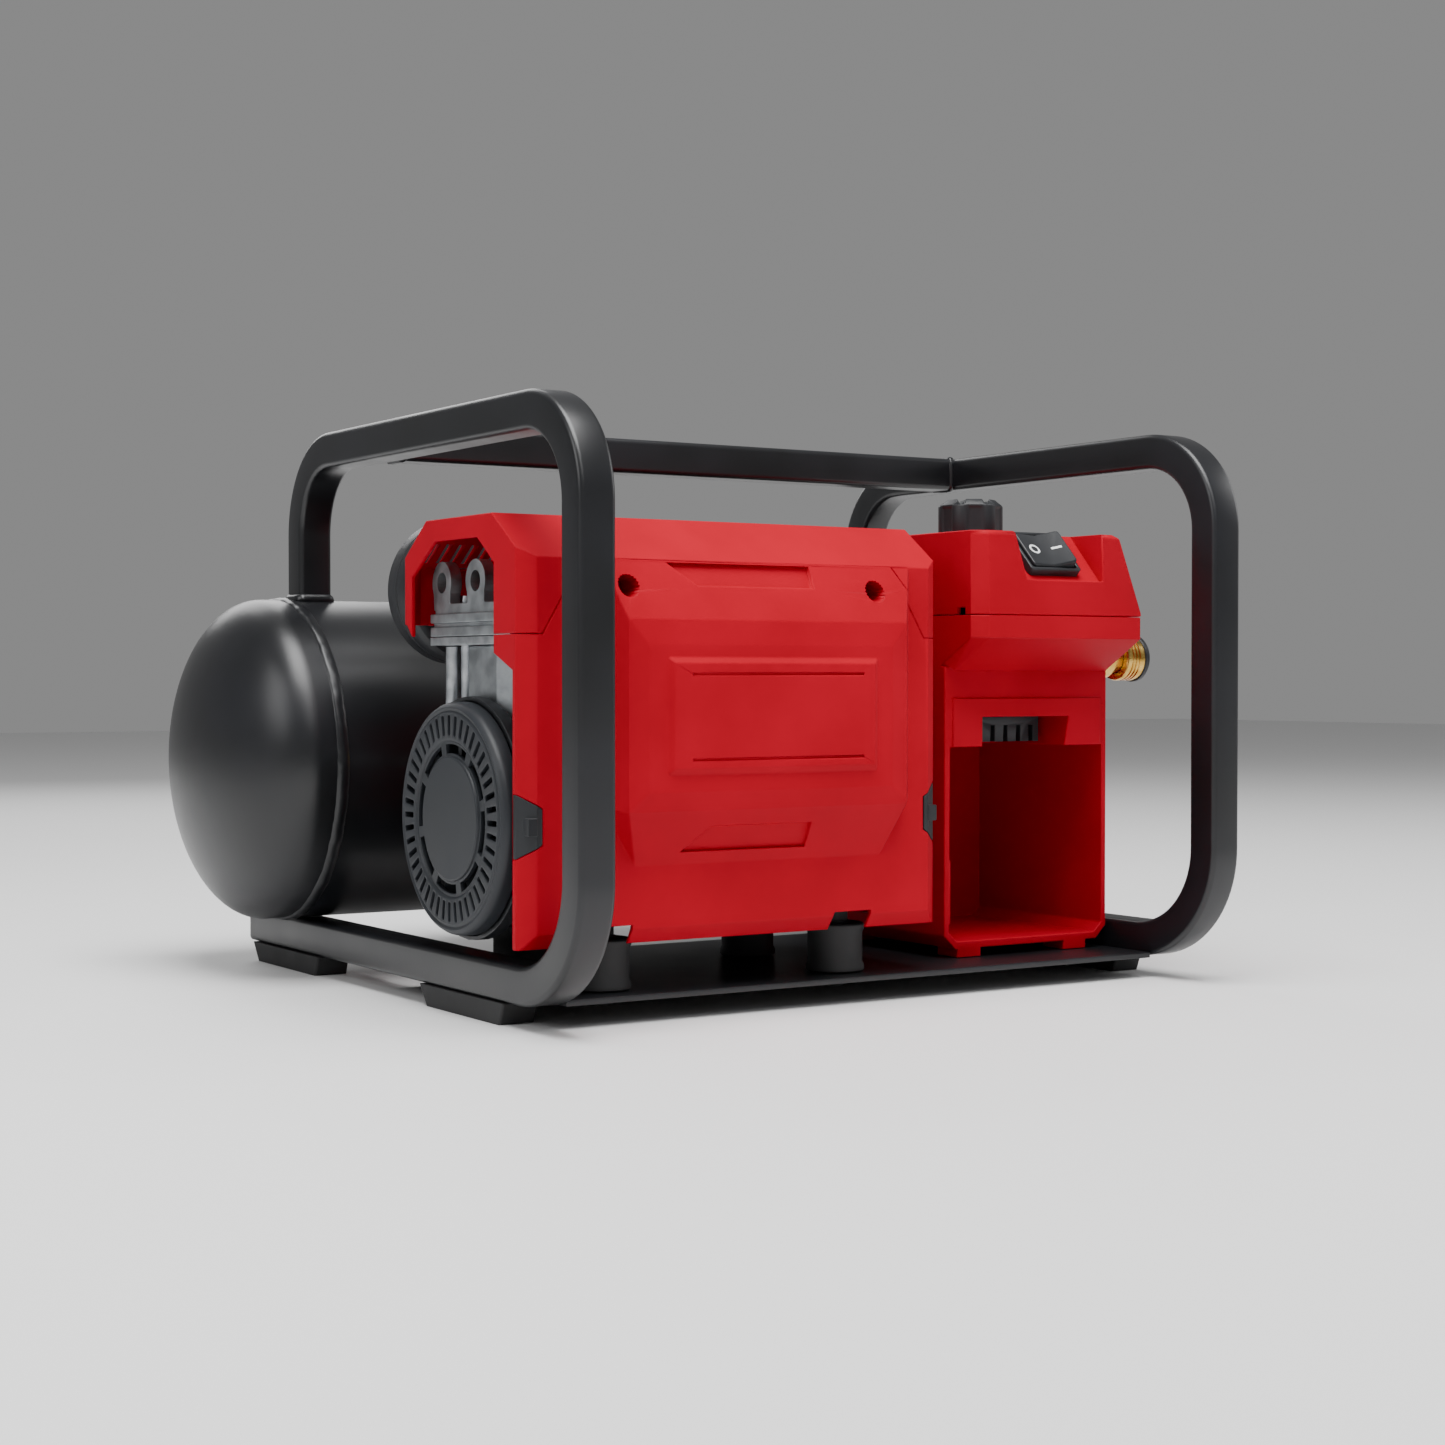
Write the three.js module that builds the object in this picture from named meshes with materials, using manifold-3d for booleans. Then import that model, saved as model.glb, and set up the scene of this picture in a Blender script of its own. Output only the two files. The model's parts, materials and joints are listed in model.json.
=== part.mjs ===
// A small cordless air compressor: two square-tube hoops carry a receiver tank at the back,
// and a motor-driven piston pump under a plastic shroud beside a control box with a battery bay.
// Millimetres, +Z up. The model is laid out with X from the left hoop's outer face, Y from the
// hoops' front faces and Z from the floor; the last lines move the origin to the middle of the floor.
import * as THREE from "three";
import { ConvexGeometry } from "three/addons/geometries/ConvexGeometry.js";
import { mergeVertices } from "three/addons/utils/BufferGeometryUtils.js";
import Module from "manifold-3d";

const wasm = await Module();
wasm.setup();

// Driving dimensions
const GAP = 0.3; // between pieces that touch
const TUBE = 19; // square frame tube
const TUBE_WALL = 1.6;
const FRAME_LENGTH = 402; // over the two hoops
const FRAME_TOP = 297;
const FOOT_HEIGHT = 11;
const HOOP_DEPTH = 338; // front face to the back of the back leg
const SKID_BACK = 396; // where the bottom run ends behind the tank
const TOP_BEND = 54; // outer radius of the two upper bends
const BOTTOM_BEND = 62; // outer radius of the lower bend
const HANDLE_FRONT = 224;
const PLATE_FRONT = 48;
const PLATE_BACK = 228;
const PLATE_THICKNESS = 3;
const TANK_RADIUS = 88.5;
const TANK_WALL = 2.5;
const TANK_Y = 331;
const HEAD_SEAM = 7.5; // the barrel's ends stand this far outside the hoops
const HEAD_SKIRT = 11.5; // straight part of a dished head
const HEAD_DISH = 42.4; // depth of its elliptical part
const SHAFT_Y = 116;
const SHAFT_Z = 96;
const SHAFT_RADIUS = 5;
const CRANK_THROW = 5; // half of the piston's stroke
const BORE_RADIUS = 26;
const CYLINDER_X = 41;
const MOTOR_RADIUS = 44;
const FAN_COVER_RADIUS = 56.5;
const SHROUD_LEFT = -4;
const SHROUD_RIGHT = 238;
const SHROUD_FRONT = 48;
const SHROUD_BACK = 180;
const SHROUD_TOP = 241.5;
const SHELL = 2.5; // wall of the plastic housings
const BOX_LEFT = 267;
const BOX_RIGHT = 380.5;
const BOX_BACK = 196;
const BOX_TOP = 241.5;
const BAY_FRONT = 82;
const COUPLER_Y = 93;
const COUPLER_Z = 175;

const SKID_BOTTOM = FOOT_HEIGHT;
const SKID_TOP = FOOT_HEIGHT + TUBE;
const PLATE_TOP = SKID_BOTTOM + PLATE_THICKNESS;
const TANK_Z = SKID_TOP + GAP + TANK_RADIUS;
const TANK_TOP = TANK_Z + TANK_RADIUS;
const TANK_BACK = TANK_Y + TANK_RADIUS;
const SHROUD_MIDDLE = (SHROUD_LEFT + SHROUD_RIGHT) / 2;

// Finishes
const FINISH = {
  black_paint: { color: 0x17181a, roughness: 0.38, metalness: 0.2 },
  black_plastic: { color: 0x222427, roughness: 0.6, metalness: 0 },
  grey_plastic: { color: 0x3c4045, roughness: 0.55, metalness: 0 },
  rubber: { color: 0x1b1b1c, roughness: 0.85, metalness: 0 },
  red_plastic: { color: 0xc8102e, roughness: 0.45, metalness: 0 },
  cast_aluminium: { color: 0xa9adb0, roughness: 0.5, metalness: 0.85 },
  steel: { color: 0xb9bcc0, roughness: 0.3, metalness: 1 },
  brass: { color: 0xc9a24b, roughness: 0.28, metalness: 1 },
  copper: { color: 0xb87333, roughness: 0.35, metalness: 1 },
};

// Solids from three.js geometry, joined and cut

function toSolid(geometry) {
  const flat = geometry.index ? geometry.toNonIndexed() : geometry;
  const bare = new THREE.BufferGeometry();
  bare.setAttribute("position", flat.getAttribute("position"));
  const merged = mergeVertices(bare, 1e-4);
  const index = merged.index.array;
  const corners = [];
  for (let i = 0; i < index.length; i += 3) {
    const [a, b, c] = index.slice(i, i + 3);
    if (a !== b && b !== c && c !== a) corners.push(a, b, c);
  }
  const build = (triVerts) =>
    new wasm.Manifold(
      new wasm.Mesh({
        numProp: 3,
        vertProperties: new Float32Array(merged.attributes.position.array),
        triVerts: new Uint32Array(triVerts),
      }),
    );
  const solid = build(corners);
  return solid.volume() < 0 ? build(corners.reverse()) : solid;
}

function toGeometry(solid) {
  const mesh = solid.getMesh();
  const indexed = new THREE.BufferGeometry();
  indexed.setAttribute("position", new THREE.BufferAttribute(mesh.vertProperties, 3));
  indexed.setIndex(new THREE.BufferAttribute(mesh.triVerts, 1));
  const geometry = indexed.toNonIndexed();
  geometry.computeVertexNormals();
  return geometry;
}

const join = (first, ...more) => more.reduce((all, solid) => all.add(solid), first);
const cut = (body, ...tools) => tools.reduce((rest, tool) => rest.subtract(tool), body);
const meet = (a, b) => a.intersect(b);

function block([x0, y0, z0], [x1, y1, z1]) {
  const geometry = new THREE.BoxGeometry(x1 - x0, y1 - y0, z1 - z0);
  return toSolid(geometry.translate((x0 + x1) / 2, (y0 + y1) / 2, (z0 + z1) / 2));
}

function shapeOf(points) {
  return new THREE.Shape(points.map(([u, v]) => new THREE.Vector2(u, v)));
}

// Extrudes a flat outline. An x prism's outline is in (y, z), a y prism's in (x, z), a z prism's in (x, y).
function prism(axis, outline, from, to, curveSegments = 5) {
  const shape = Array.isArray(outline) ? shapeOf(outline) : outline;
  const geometry = new THREE.ExtrudeGeometry(shape, {
    depth: to - from,
    bevelEnabled: false,
    curveSegments,
  });
  const turn = new THREE.Matrix4();
  const X = new THREE.Vector3(1, 0, 0);
  const Y = new THREE.Vector3(0, 1, 0);
  const Z = new THREE.Vector3(0, 0, 1);
  if (axis === "x") turn.makeBasis(Y, Z, X).setPosition(from, 0, 0);
  if (axis === "y") turn.makeBasis(X, Z, Y.clone().negate()).setPosition(0, to, 0);
  if (axis === "z") turn.makeBasis(X, Y, Z).setPosition(0, 0, from);
  return toSolid(geometry.applyMatrix4(turn));
}

// Turns a profile of [radius, height] about an axis through a point.
function turned(axis, profile, at = [0, 0, 0], segments = 32) {
  const points = profile.map(([radius, height]) => new THREE.Vector2(radius, height));
  const geometry = new THREE.LatheGeometry(points, segments);
  if (axis === "x") geometry.rotateZ(-Math.PI / 2);
  if (axis === "z") geometry.rotateX(Math.PI / 2);
  return toSolid(geometry.translate(...at));
}

function rod(axis, radius, from, to, at, segments) {
  const profile = [[0, from], [radius, from], [radius, to], [0, to]];
  return turned(axis, profile, at, segments);
}

function ring(axis, outer, inner, from, to, at, segments) {
  const profile = [[inner, from], [outer, from], [outer, to], [inner, to], [inner, from]];
  return turned(axis, profile, at, segments);
}

function hull(points) {
  return toSolid(new ConvexGeometry(points.map((point) => new THREE.Vector3(...point))));
}

// A round tube of one radius along a smooth route.
function pipe(route, radius, steps, sides = 8) {
  const path = new THREE.CatmullRomCurve3(route.map((point) => new THREE.Vector3(...point)));
  const section = Array.from({ length: sides }, (_, i) => {
    const angle = (i / sides) * 2 * Math.PI;
    return [radius * Math.cos(angle), radius * Math.sin(angle)];
  });
  const geometry = new THREE.ExtrudeGeometry(shapeOf(section), { steps, extrudePath: path });
  return toSolid(geometry);
}

function piece(name, solid, finish) {
  const material = new THREE.MeshStandardMaterial(FINISH[finish]);
  const mesh = new THREE.Mesh(toGeometry(solid), material);
  mesh.name = name;
  return mesh;
}

function groupAt([x, y, z], ...children) {
  const group = new THREE.Group();
  group.position.set(x, y, z);
  group.add(...children);
  return group;
}

// Frame

// The outline of a hoop seen from the side, set in by a wall so that the same path makes its bore.
function hoopOutline(inset, overrun) {
  const shape = new THREE.Shape();
  const front = inset;
  const inside = TUBE - inset;
  const back = HOOP_DEPTH - inset;
  const backInside = HOOP_DEPTH - TUBE + inset;
  const top = FRAME_TOP - inset;
  const topInside = FRAME_TOP - TUBE + inset;
  const lowBend = SKID_BOTTOM + BOTTOM_BEND;
  const highBend = FRAME_TOP - TOP_BEND;
  const backBend = HOOP_DEPTH - TOP_BEND;
  const legEnd = TANK_TOP + GAP - overrun;
  const skidEnd = SKID_BACK + overrun;
  shape.moveTo(skidEnd, SKID_BOTTOM + inset);
  shape.lineTo(BOTTOM_BEND, SKID_BOTTOM + inset);
  shape.absarc(BOTTOM_BEND, lowBend, BOTTOM_BEND - inset, -Math.PI / 2, -Math.PI, true);
  shape.lineTo(front, highBend);
  shape.absarc(TOP_BEND, highBend, TOP_BEND - inset, Math.PI, Math.PI / 2, true);
  shape.lineTo(backBend, top);
  shape.absarc(backBend, highBend, TOP_BEND - inset, Math.PI / 2, 0, true);
  shape.lineTo(back, legEnd);
  shape.lineTo(backInside, legEnd);
  shape.lineTo(backInside, highBend);
  shape.absarc(backBend, highBend, TOP_BEND - inside, 0, Math.PI / 2, false);
  shape.lineTo(TOP_BEND, topInside);
  shape.absarc(TOP_BEND, highBend, TOP_BEND - inside, Math.PI / 2, Math.PI, false);
  shape.lineTo(inside, lowBend);
  shape.absarc(BOTTOM_BEND, lowBend, BOTTOM_BEND - inside, Math.PI, 1.5 * Math.PI, false);
  shape.lineTo(skidEnd, SKID_TOP - inset);
  return shape;
}

function makeHoop(name, x) {
  const outside = prism("x", hoopOutline(0, 0), 0, TUBE);
  const bore = prism("x", hoopOutline(TUBE_WALL, 2), TUBE_WALL, TUBE - TUBE_WALL);
  const hoop = piece(name, cut(outside, bore), "black_paint");
  hoop.position.x = x;
  return hoop;
}

function makeHandle() {
  const left = TUBE + GAP;
  const right = FRAME_LENGTH - TUBE - GAP;
  const low = FRAME_TOP - TUBE;
  const outside = block([left, HANDLE_FRONT, low], [right, HANDLE_FRONT + TUBE, FRAME_TOP]);
  const bore = block(
    [left - 1, HANDLE_FRONT + TUBE_WALL, low + TUBE_WALL],
    [right + 1, HANDLE_FRONT + TUBE - TUBE_WALL, FRAME_TOP - TUBE_WALL],
  );
  return piece("handle_bar", cut(outside, bore), "black_paint");
}

// Rubber foot under a hoop's bottom run, tapered towards the floor.
function makeFoot(name, x, start, end) {
  const taper = 8;
  const top = FOOT_HEIGHT - GAP;
  const outline = [[start, top], [start + taper / 2, 0], [end - taper, 0], [end, top]];
  const foot = piece(name, prism("x", outline, 0, TUBE), "rubber");
  foot.position.x = x;
  return foot;
}

const ISOLATORS = {
  isolator_front_left: [52, 74],
  isolator_back_left: [52, 156],
  isolator_front_right: [190, 74],
  isolator_back_right: [190, 156],
};
const ISOLATOR_RADIUS = 15;
const ISOLATOR_TOP = 39;
const ISOLATOR_COLLAR_TOP = 46;
const STUD_RADIUS = 3.5;

function makeBasePlate() {
  const left = TUBE + GAP;
  const right = FRAME_LENGTH - TUBE - GAP;
  const plate = block([left, PLATE_FRONT, SKID_BOTTOM], [right, PLATE_BACK, PLATE_TOP]);
  const holes = Object.values(ISOLATORS).map(([x, y]) =>
    rod("z", STUD_RADIUS + 0.6, 0, 20, [x, y, 0], 16),
  );
  return piece("base_plate", cut(plate, ...holes), "black_paint");
}

// Rubber-to-metal mount: a screw head below the plate, the rubber, a steel collar and its upper stud.
function makeIsolator(name, [x, y]) {
  const profile = [
    [0, SKID_BOTTOM - 4],
    [6, SKID_BOTTOM - 4],
    [6, SKID_BOTTOM - GAP],
    [STUD_RADIUS, SKID_BOTTOM - GAP],
    [STUD_RADIUS, PLATE_TOP + GAP],
    [ISOLATOR_RADIUS, PLATE_TOP + GAP],
    [ISOLATOR_RADIUS, ISOLATOR_TOP],
    [7, ISOLATOR_TOP],
    [7, ISOLATOR_COLLAR_TOP],
    [STUD_RADIUS, ISOLATOR_COLLAR_TOP],
    [STUD_RADIUS, ISOLATOR_COLLAR_TOP + 9],
    [0, ISOLATOR_COLLAR_TOP + 9],
  ];
  return piece(name, turned("z", profile, [x, y, 0], 16), "rubber");
}

function makeFrame() {
  const rightX = FRAME_LENGTH - TUBE;
  const feet = [
    makeFoot("foot_front_left", 0, 75, 167),
    makeFoot("foot_back_left", 0, 296, 392),
    makeFoot("foot_front_right", rightX, 75, 167),
    makeFoot("foot_back_right", rightX, 296, 392),
  ];
  const isolators = Object.entries(ISOLATORS).map(([name, at]) => makeIsolator(name, at));
  const hoops = [makeHoop("left_hoop", 0), makeHoop("right_hoop", rightX)];
  return groupAt([0, 0, 0], ...hoops, makeHandle(), makeBasePlate(), ...feet, ...isolators);
}

// Tank: its group's origin is on the tank's axis, at the left hoop's outer face

const CHECK_VALVE_X = 56;
const OUTLET_X = 330;
const MIDDLE_X = FRAME_LENGTH / 2;
const PORT_RADIUS = 6.3;
const TANK_SIDES = 40;

function makeTankBarrel() {
  const tube = ring(
    "x",
    TANK_RADIUS,
    TANK_RADIUS - TANK_WALL,
    -HEAD_SEAM,
    FRAME_LENGTH + HEAD_SEAM,
    [0, 0, 0],
    TANK_SIDES,
  );
  const through = [TANK_RADIUS - 10, TANK_RADIUS + 10];
  const ports = [
    rod("y", PORT_RADIUS, -through[1], -through[0], [CHECK_VALVE_X, 0, 0], 20),
    rod("y", PORT_RADIUS, -through[1], -through[0], [OUTLET_X, 0, 0], 20),
    rod("z", PORT_RADIUS, -through[1], -through[0], [MIDDLE_X, 0, 0], 20),
    rod("z", PORT_RADIUS, through[0], through[1], [MIDDLE_X, 0, 0], 20),
  ];
  return piece("tank_barrel", cut(tube, ...ports), "black_paint");
}

function makeTankHead(name) {
  const steps = 6;
  const quarter = Array.from({ length: steps + 1 }, (_, i) => (i / steps) * (Math.PI / 2));
  const skirtEnd = -HEAD_SEAM - GAP;
  const dishStart = -HEAD_SEAM - HEAD_SKIRT;
  const inner = TANK_RADIUS - TANK_WALL;
  const outside = quarter.map((angle) => [
    TANK_RADIUS * Math.sin(angle),
    dishStart - HEAD_DISH * Math.cos(angle),
  ]);
  const inside = quarter.map((angle) => [
    inner * Math.cos(angle),
    dishStart - (HEAD_DISH - TANK_WALL) * Math.sin(angle),
  ]);
  outside[0][0] = 0;
  inside[steps][0] = 0;
  const profile = [...outside, [TANK_RADIUS, skirtEnd], [inner, skirtEnd], ...inside];
  return piece(name, turned("x", profile, [0, 0, 0], TANK_SIDES), "black_paint");
}

function makeCheckValve() {
  const wall = -TANK_RADIUS;
  const profile = [
    [0, wall - 20],
    [7, wall - 20],
    [7, wall - 10],
    [10, wall - 10],
    [10, wall - 1],
    [PORT_RADIUS - GAP, wall - 1],
    [PORT_RADIUS - GAP, wall + 8],
    [0, wall + 8],
  ];
  return piece("check_valve", turned("y", profile, [CHECK_VALVE_X, 0, 0], 24), "brass");
}

function makeDrainValve() {
  const wall = -TANK_RADIUS;
  const bodyProfile = [
    [0, wall - 9],
    [7.5, wall - 9],
    [7.5, wall - 1],
    [PORT_RADIUS - GAP, wall - 1],
    [PORT_RADIUS - GAP, wall + 8],
    [0, wall + 8],
  ];
  const body = turned("z", bodyProfile, [MIDDLE_X, 0, 0], 24);
  const knobTop = wall - 9 - GAP;
  const barrel = rod("z", 6, knobTop - 8, knobTop, [MIDDLE_X, 0, 0], 20);
  const wings = block([MIDDLE_X - 11, -2, knobTop - 8], [MIDDLE_X + 11, 2, knobTop - 2]);
  return [
    piece("drain_valve_body", body, "brass"),
    piece("drain_valve_knob", join(barrel, wings), "brass"),
  ];
}

function makeReliefValve() {
  const wall = TANK_RADIUS;
  const bodyProfile = [
    [0, wall - 8],
    [PORT_RADIUS - GAP, wall - 8],
    [PORT_RADIUS - GAP, wall + 1],
    [8, wall + 1],
    [8, wall + 9],
    [6, wall + 9],
    [6, wall + 20],
    [2.3, wall + 20],
    [2.3, wall + 6],
    [0, wall + 6],
  ];
  const body = turned("z", bodyProfile, [MIDDLE_X, 0, 0], 24);
  const ringCentre = wall + 31;
  const pull = ring("x", 8, 5.6, -1.2, 1.2, [MIDDLE_X, 0, ringCentre], 24);
  const stem = rod("z", 2, wall + 10, ringCentre - 6.4, [MIDDLE_X, 0, 0], 12);
  return [
    piece("relief_valve_body", body, "brass"),
    piece("relief_valve_ring", join(stem, pull), "steel"),
  ];
}

function makeTank() {
  const left = makeTankHead("tank_head_left");
  const right = makeTankHead("tank_head_right");
  right.rotation.z = Math.PI;
  right.position.x = FRAME_LENGTH;
  const fittings = [makeCheckValve(), ...makeDrainValve(), ...makeReliefValve()];
  return groupAt([0, TANK_Y, TANK_Z], makeTankBarrel(), left, right, ...fittings);
}

// Pump and motor: the group's origin is on the shaft's axis, at the left hoop's outer face

const BRACKET_BOTTOM = ISOLATOR_COLLAR_TOP + GAP - SHAFT_Z;
const BRACKET_TOP = BRACKET_BOTTOM + 4;
const CRANKCASE_RADIUS = 42;
const CRANKCASE_LEFT = 10;
const CRANKCASE_RIGHT = 72;
const FLANGE_TOP = 44;
const FLANGE_HALF = 35;
const CYLINDER_TOP = 83.7;
const HEAD_BOTTOM = 88.3;
const HEAD_TOP = 104.5;
const HEAD_LEFT = 3;
const HEAD_RIGHT = 79;
const HEAD_HALF = 43;
const BOLT_SPREAD_X = 25;
const BOLT_SPREAD_Y = 28;
const BOLT_RADIUS = 3;
const BEARING_OUTER = 11;
const PISTON_TOP = 79;
const MOTOR_LEFT = CRANKCASE_RIGHT + GAP;
const MOTOR_RIGHT = 196;

const BOLT_PLACES = [
  [CYLINDER_X - BOLT_SPREAD_X, BOLT_SPREAD_Y],
  [CYLINDER_X - BOLT_SPREAD_X, -BOLT_SPREAD_Y],
  [CYLINDER_X + BOLT_SPREAD_X, BOLT_SPREAD_Y],
  [CYLINDER_X + BOLT_SPREAD_X, -BOLT_SPREAD_Y],
];

function boltHoles() {
  return BOLT_PLACES.map(([x, y]) => rod("z", BOLT_RADIUS + GAP, 0, 120, [x, y, 0], 16));
}

// Plate on the four isolators, with saddles that hold the crankcase and the motor.
function makePumpBracket() {
  const plate = block([30, -57, BRACKET_BOTTOM], [206, 59, BRACKET_TOP]);
  const saddles = [[30, 48], [110, 126], [176, 192]].map(([from, to]) =>
    block([from, -26, BRACKET_TOP - 1], [to, 26, BRACKET_TOP + 12]),
  );
  const crank = rod("x", CRANKCASE_RADIUS + GAP, 0, CRANKCASE_RIGHT, [0, 0, 0], 36);
  const motor = rod("x", MOTOR_RADIUS + GAP, CRANKCASE_RIGHT, 220, [0, 0, 0], 36);
  const holes = Object.values(ISOLATORS).map(([x, y]) =>
    rod("z", STUD_RADIUS + GAP, -60, -30, [x, y - SHAFT_Y, 0], 16),
  );
  const bracket = cut(join(plate, ...saddles), crank, motor, ...holes);
  return piece("pump_bracket", bracket, "black_paint");
}

function makeCrankcase() {
  const drum = rod("x", CRANKCASE_RADIUS, CRANKCASE_LEFT, CRANKCASE_RIGHT, [0, 0, 0], 36);
  const neck = block([CRANKCASE_LEFT, -32, 0], [CRANKCASE_RIGHT, 32, FLANGE_TOP - 1]);
  const flange = block(
    [CRANKCASE_LEFT, -FLANGE_HALF, FLANGE_TOP - 8],
    [CRANKCASE_RIGHT, FLANGE_HALF, FLANGE_TOP],
  );
  const chamber = rod("x", 36, CRANKCASE_LEFT + 4, 61, [0, 0, 0], 32);
  const opening = rod("z", BORE_RADIUS + 1, 0, 60, [CYLINDER_X, 0, 0], 28);
  const shaftHole = rod("x", 8, 0, 20, [0, 0, 0], 24);
  const bearingSeat = rod("x", BEARING_OUTER + GAP, 55, 80, [0, 0, 0], 32);
  const casting = join(drum, neck, flange);
  const body = cut(casting, chamber, opening, shaftHole, bearingSeat, ...boltHoles());
  return piece("crankcase", body, "cast_aluminium");
}

function makeCylinder() {
  const half = 33;
  const corner = 18;
  const left = 10 + GAP;
  const right = CYLINDER_X + (CYLINDER_X - left);
  const outline = [
    [left, -half + corner],
    [left + corner, -half],
    [right - corner, -half],
    [right, -half + corner],
    [right, half - corner],
    [right - corner, half],
    [left + corner, half],
    [left, half - corner],
  ];
  const body = prism("z", outline, FLANGE_TOP + GAP, CYLINDER_TOP);
  const bore = rod("z", BORE_RADIUS, 0, 120, [CYLINDER_X, 0, 0], 40);
  return piece("cylinder", cut(body, bore), "cast_aluminium");
}

function makeValvePlate() {
  const bottom = CYLINDER_TOP + GAP;
  const plate = block([HEAD_LEFT, -HEAD_HALF, bottom], [HEAD_RIGHT, HEAD_HALF, HEAD_BOTTOM - GAP]);
  const ports = [
    rod("z", 4, 0, 120, [CYLINDER_X, 13, 0], 16),
    rod("z", 4, 0, 120, [CYLINDER_X, -13, 0], 16),
  ];
  return piece("valve_plate", cut(plate, ...ports, ...boltHoles()), "steel");
}

// Cylinder head: a block with a thin top plate, cooling grooves round it and two cast lifting eyes.
function makeCylinderHead() {
  const lower = block([HEAD_LEFT, -HEAD_HALF, HEAD_BOTTOM], [HEAD_RIGHT, HEAD_HALF, HEAD_TOP - 5]);
  const low = HEAD_TOP - 6;
  const top = block([HEAD_LEFT + 2, -HEAD_HALF + 2, low], [HEAD_RIGHT - 2, HEAD_HALF - 2, HEAD_TOP]);
  const groove = cut(
    block([HEAD_LEFT - 1, -HEAD_HALF - 1, 93], [HEAD_RIGHT + 1, HEAD_HALF + 1, 95]),
    block([HEAD_LEFT + 1.5, -HEAD_HALF + 1.5, 92], [HEAD_RIGHT - 1.5, HEAD_HALF - 1.5, 96]),
  );
  const eyes = [-3, 34].map((y) => {
    const centre = HEAD_TOP + 10.5;
    const round = rod("x", 10.5, HEAD_LEFT + 2, HEAD_LEFT + 8, [0, y, centre], 28);
    const base = block([HEAD_LEFT + 2, y - 9, HEAD_TOP - 3], [HEAD_LEFT + 8, y + 9, centre - 3]);
    const hole = rod("x", 5.2, 0, 20, [0, y, centre], 20);
    return cut(join(round, base), hole);
  });
  return piece("cylinder_head", cut(join(lower, top, ...eyes), groove, ...boltHoles()), "cast_aluminium");
}

function makeHeadBolts() {
  return BOLT_PLACES.map(([x, y], i) => {
    const profile = [
      [0, FLANGE_TOP - 8],
      [BOLT_RADIUS, FLANGE_TOP - 8],
      [BOLT_RADIUS, HEAD_TOP + GAP],
      [4.6, HEAD_TOP + GAP],
      [4.6, HEAD_TOP + 4],
      [0, HEAD_TOP + 4],
    ];
    return piece("head_bolt_" + (i + 1), turned("z", profile, [x, y, 0], 16), "steel");
  });
}

// Shaft through the pump and the motor, with the eccentric and its counterweight.
function makeCrankshaft() {
  const shaft = rod("x", SHAFT_RADIUS, -4, 198, [0, 0, 0], 24);
  const eccentric = rod("x", 12.5, 36.3, 45.7, [0, 0, CRANK_THROW], 32);
  const disc = rod("x", 32, 48, 57, [0, 0, 0], 32);
  const upper = block([40, -40, 9], [60, 40, 40]);
  return piece("crankshaft", join(shaft, eccentric, cut(disc, upper)), "steel");
}

// Wobble piston: piston and rod in one. The big end is bored wide enough to clear the eccentric at
// every angle of the shaft and at every place of the piston.
function makePiston() {
  const centre = CRANK_THROW;
  const bigEndBore = 12.5 + 2 * CRANK_THROW + 0.6;
  const bigEnd = rod("x", bigEndBore + 5, 36.5, 45.5, [0, 0, centre], 32);
  const shank = block([37, -6, centre + 24], [45, 6, PISTON_TOP - 6]);
  const crown = rod("z", BORE_RADIUS - 1, PISTON_TOP - 8, PISTON_TOP, [CYLINDER_X, 0, 0], 40);
  const boss = rod("z", 5.5, PISTON_TOP - 1, PISTON_TOP + 2.4, [CYLINDER_X, 0, 0], 16);
  const bore = rod("x", bigEndBore, 30, 50, [0, 0, centre], 32);
  const sealBottom = PISTON_TOP + GAP;
  const seal = ring("z", BORE_RADIUS - 0.2, 5.8, sealBottom, sealBottom + 1.6, [CYLINDER_X, 0, 0], 40);
  return [
    piece("piston_and_rod", cut(join(bigEnd, shank, crown, boss), bore), "cast_aluminium"),
    piece("piston_cup_seal", seal, "rubber"),
  ];
}

function makeBearing(name, x) {
  return piece(name, ring("x", BEARING_OUTER, SHAFT_RADIUS + GAP, x, x + 7, [0, 0, 0], 24), "steel");
}

function makeMotor() {
  const caseTube = ring("x", MOTOR_RADIUS, MOTOR_RADIUS - 2.5, MOTOR_LEFT, MOTOR_RIGHT, [0, 0, 0], 36);
  const endBell = ring("x", MOTOR_RADIUS - 1, 8, MOTOR_RIGHT - 4, MOTOR_RIGHT, [0, 0, 0], 36);
  const bearingBoss = ring("x", 15, BEARING_OUTER + GAP, MOTOR_RIGHT - 12, MOTOR_RIGHT - 3, [0, 0, 0], 24);
  const stator = ring("x", MOTOR_RADIUS - 2.5 - GAP, 26, 100, 160, [0, 0, 0], 32);
  const rotor = ring("x", 25.2, SHAFT_RADIUS + GAP, 96, 164, [0, 0, 0], 28);
  return [
    piece("motor_case", join(caseTube, endBell, bearingBoss), "black_paint"),
    piece("motor_stator", stator, "copper"),
    piece("motor_rotor", rotor, "steel"),
    makeBearing("bearing_crank", 63),
    makeBearing("bearing_motor", MOTOR_RIGHT - 11.5),
  ];
}

function makeCoolingFan() {
  const blades = 9;
  const hub = rod("x", 12, -3.5, 5.5, [0, 0, 0], 24);
  const all = Array.from({ length: blades }, (_, i) => {
    const geometry = new THREE.BoxGeometry(9, 2, 40);
    geometry.rotateZ(0.5).translate(1, 0, 29).rotateX((i / blades) * 2 * Math.PI);
    return toSolid(geometry);
  });
  const trim = ring("x", 50, 1, -3.5, 5.5, [0, 0, 0], 36);
  const bore = rod("x", SHAFT_RADIUS + GAP, -10, 10, [0, 0, 0], 24);
  return piece("cooling_fan", cut(meet(join(hub, ...all), trim), bore), "grey_plastic");
}

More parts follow.
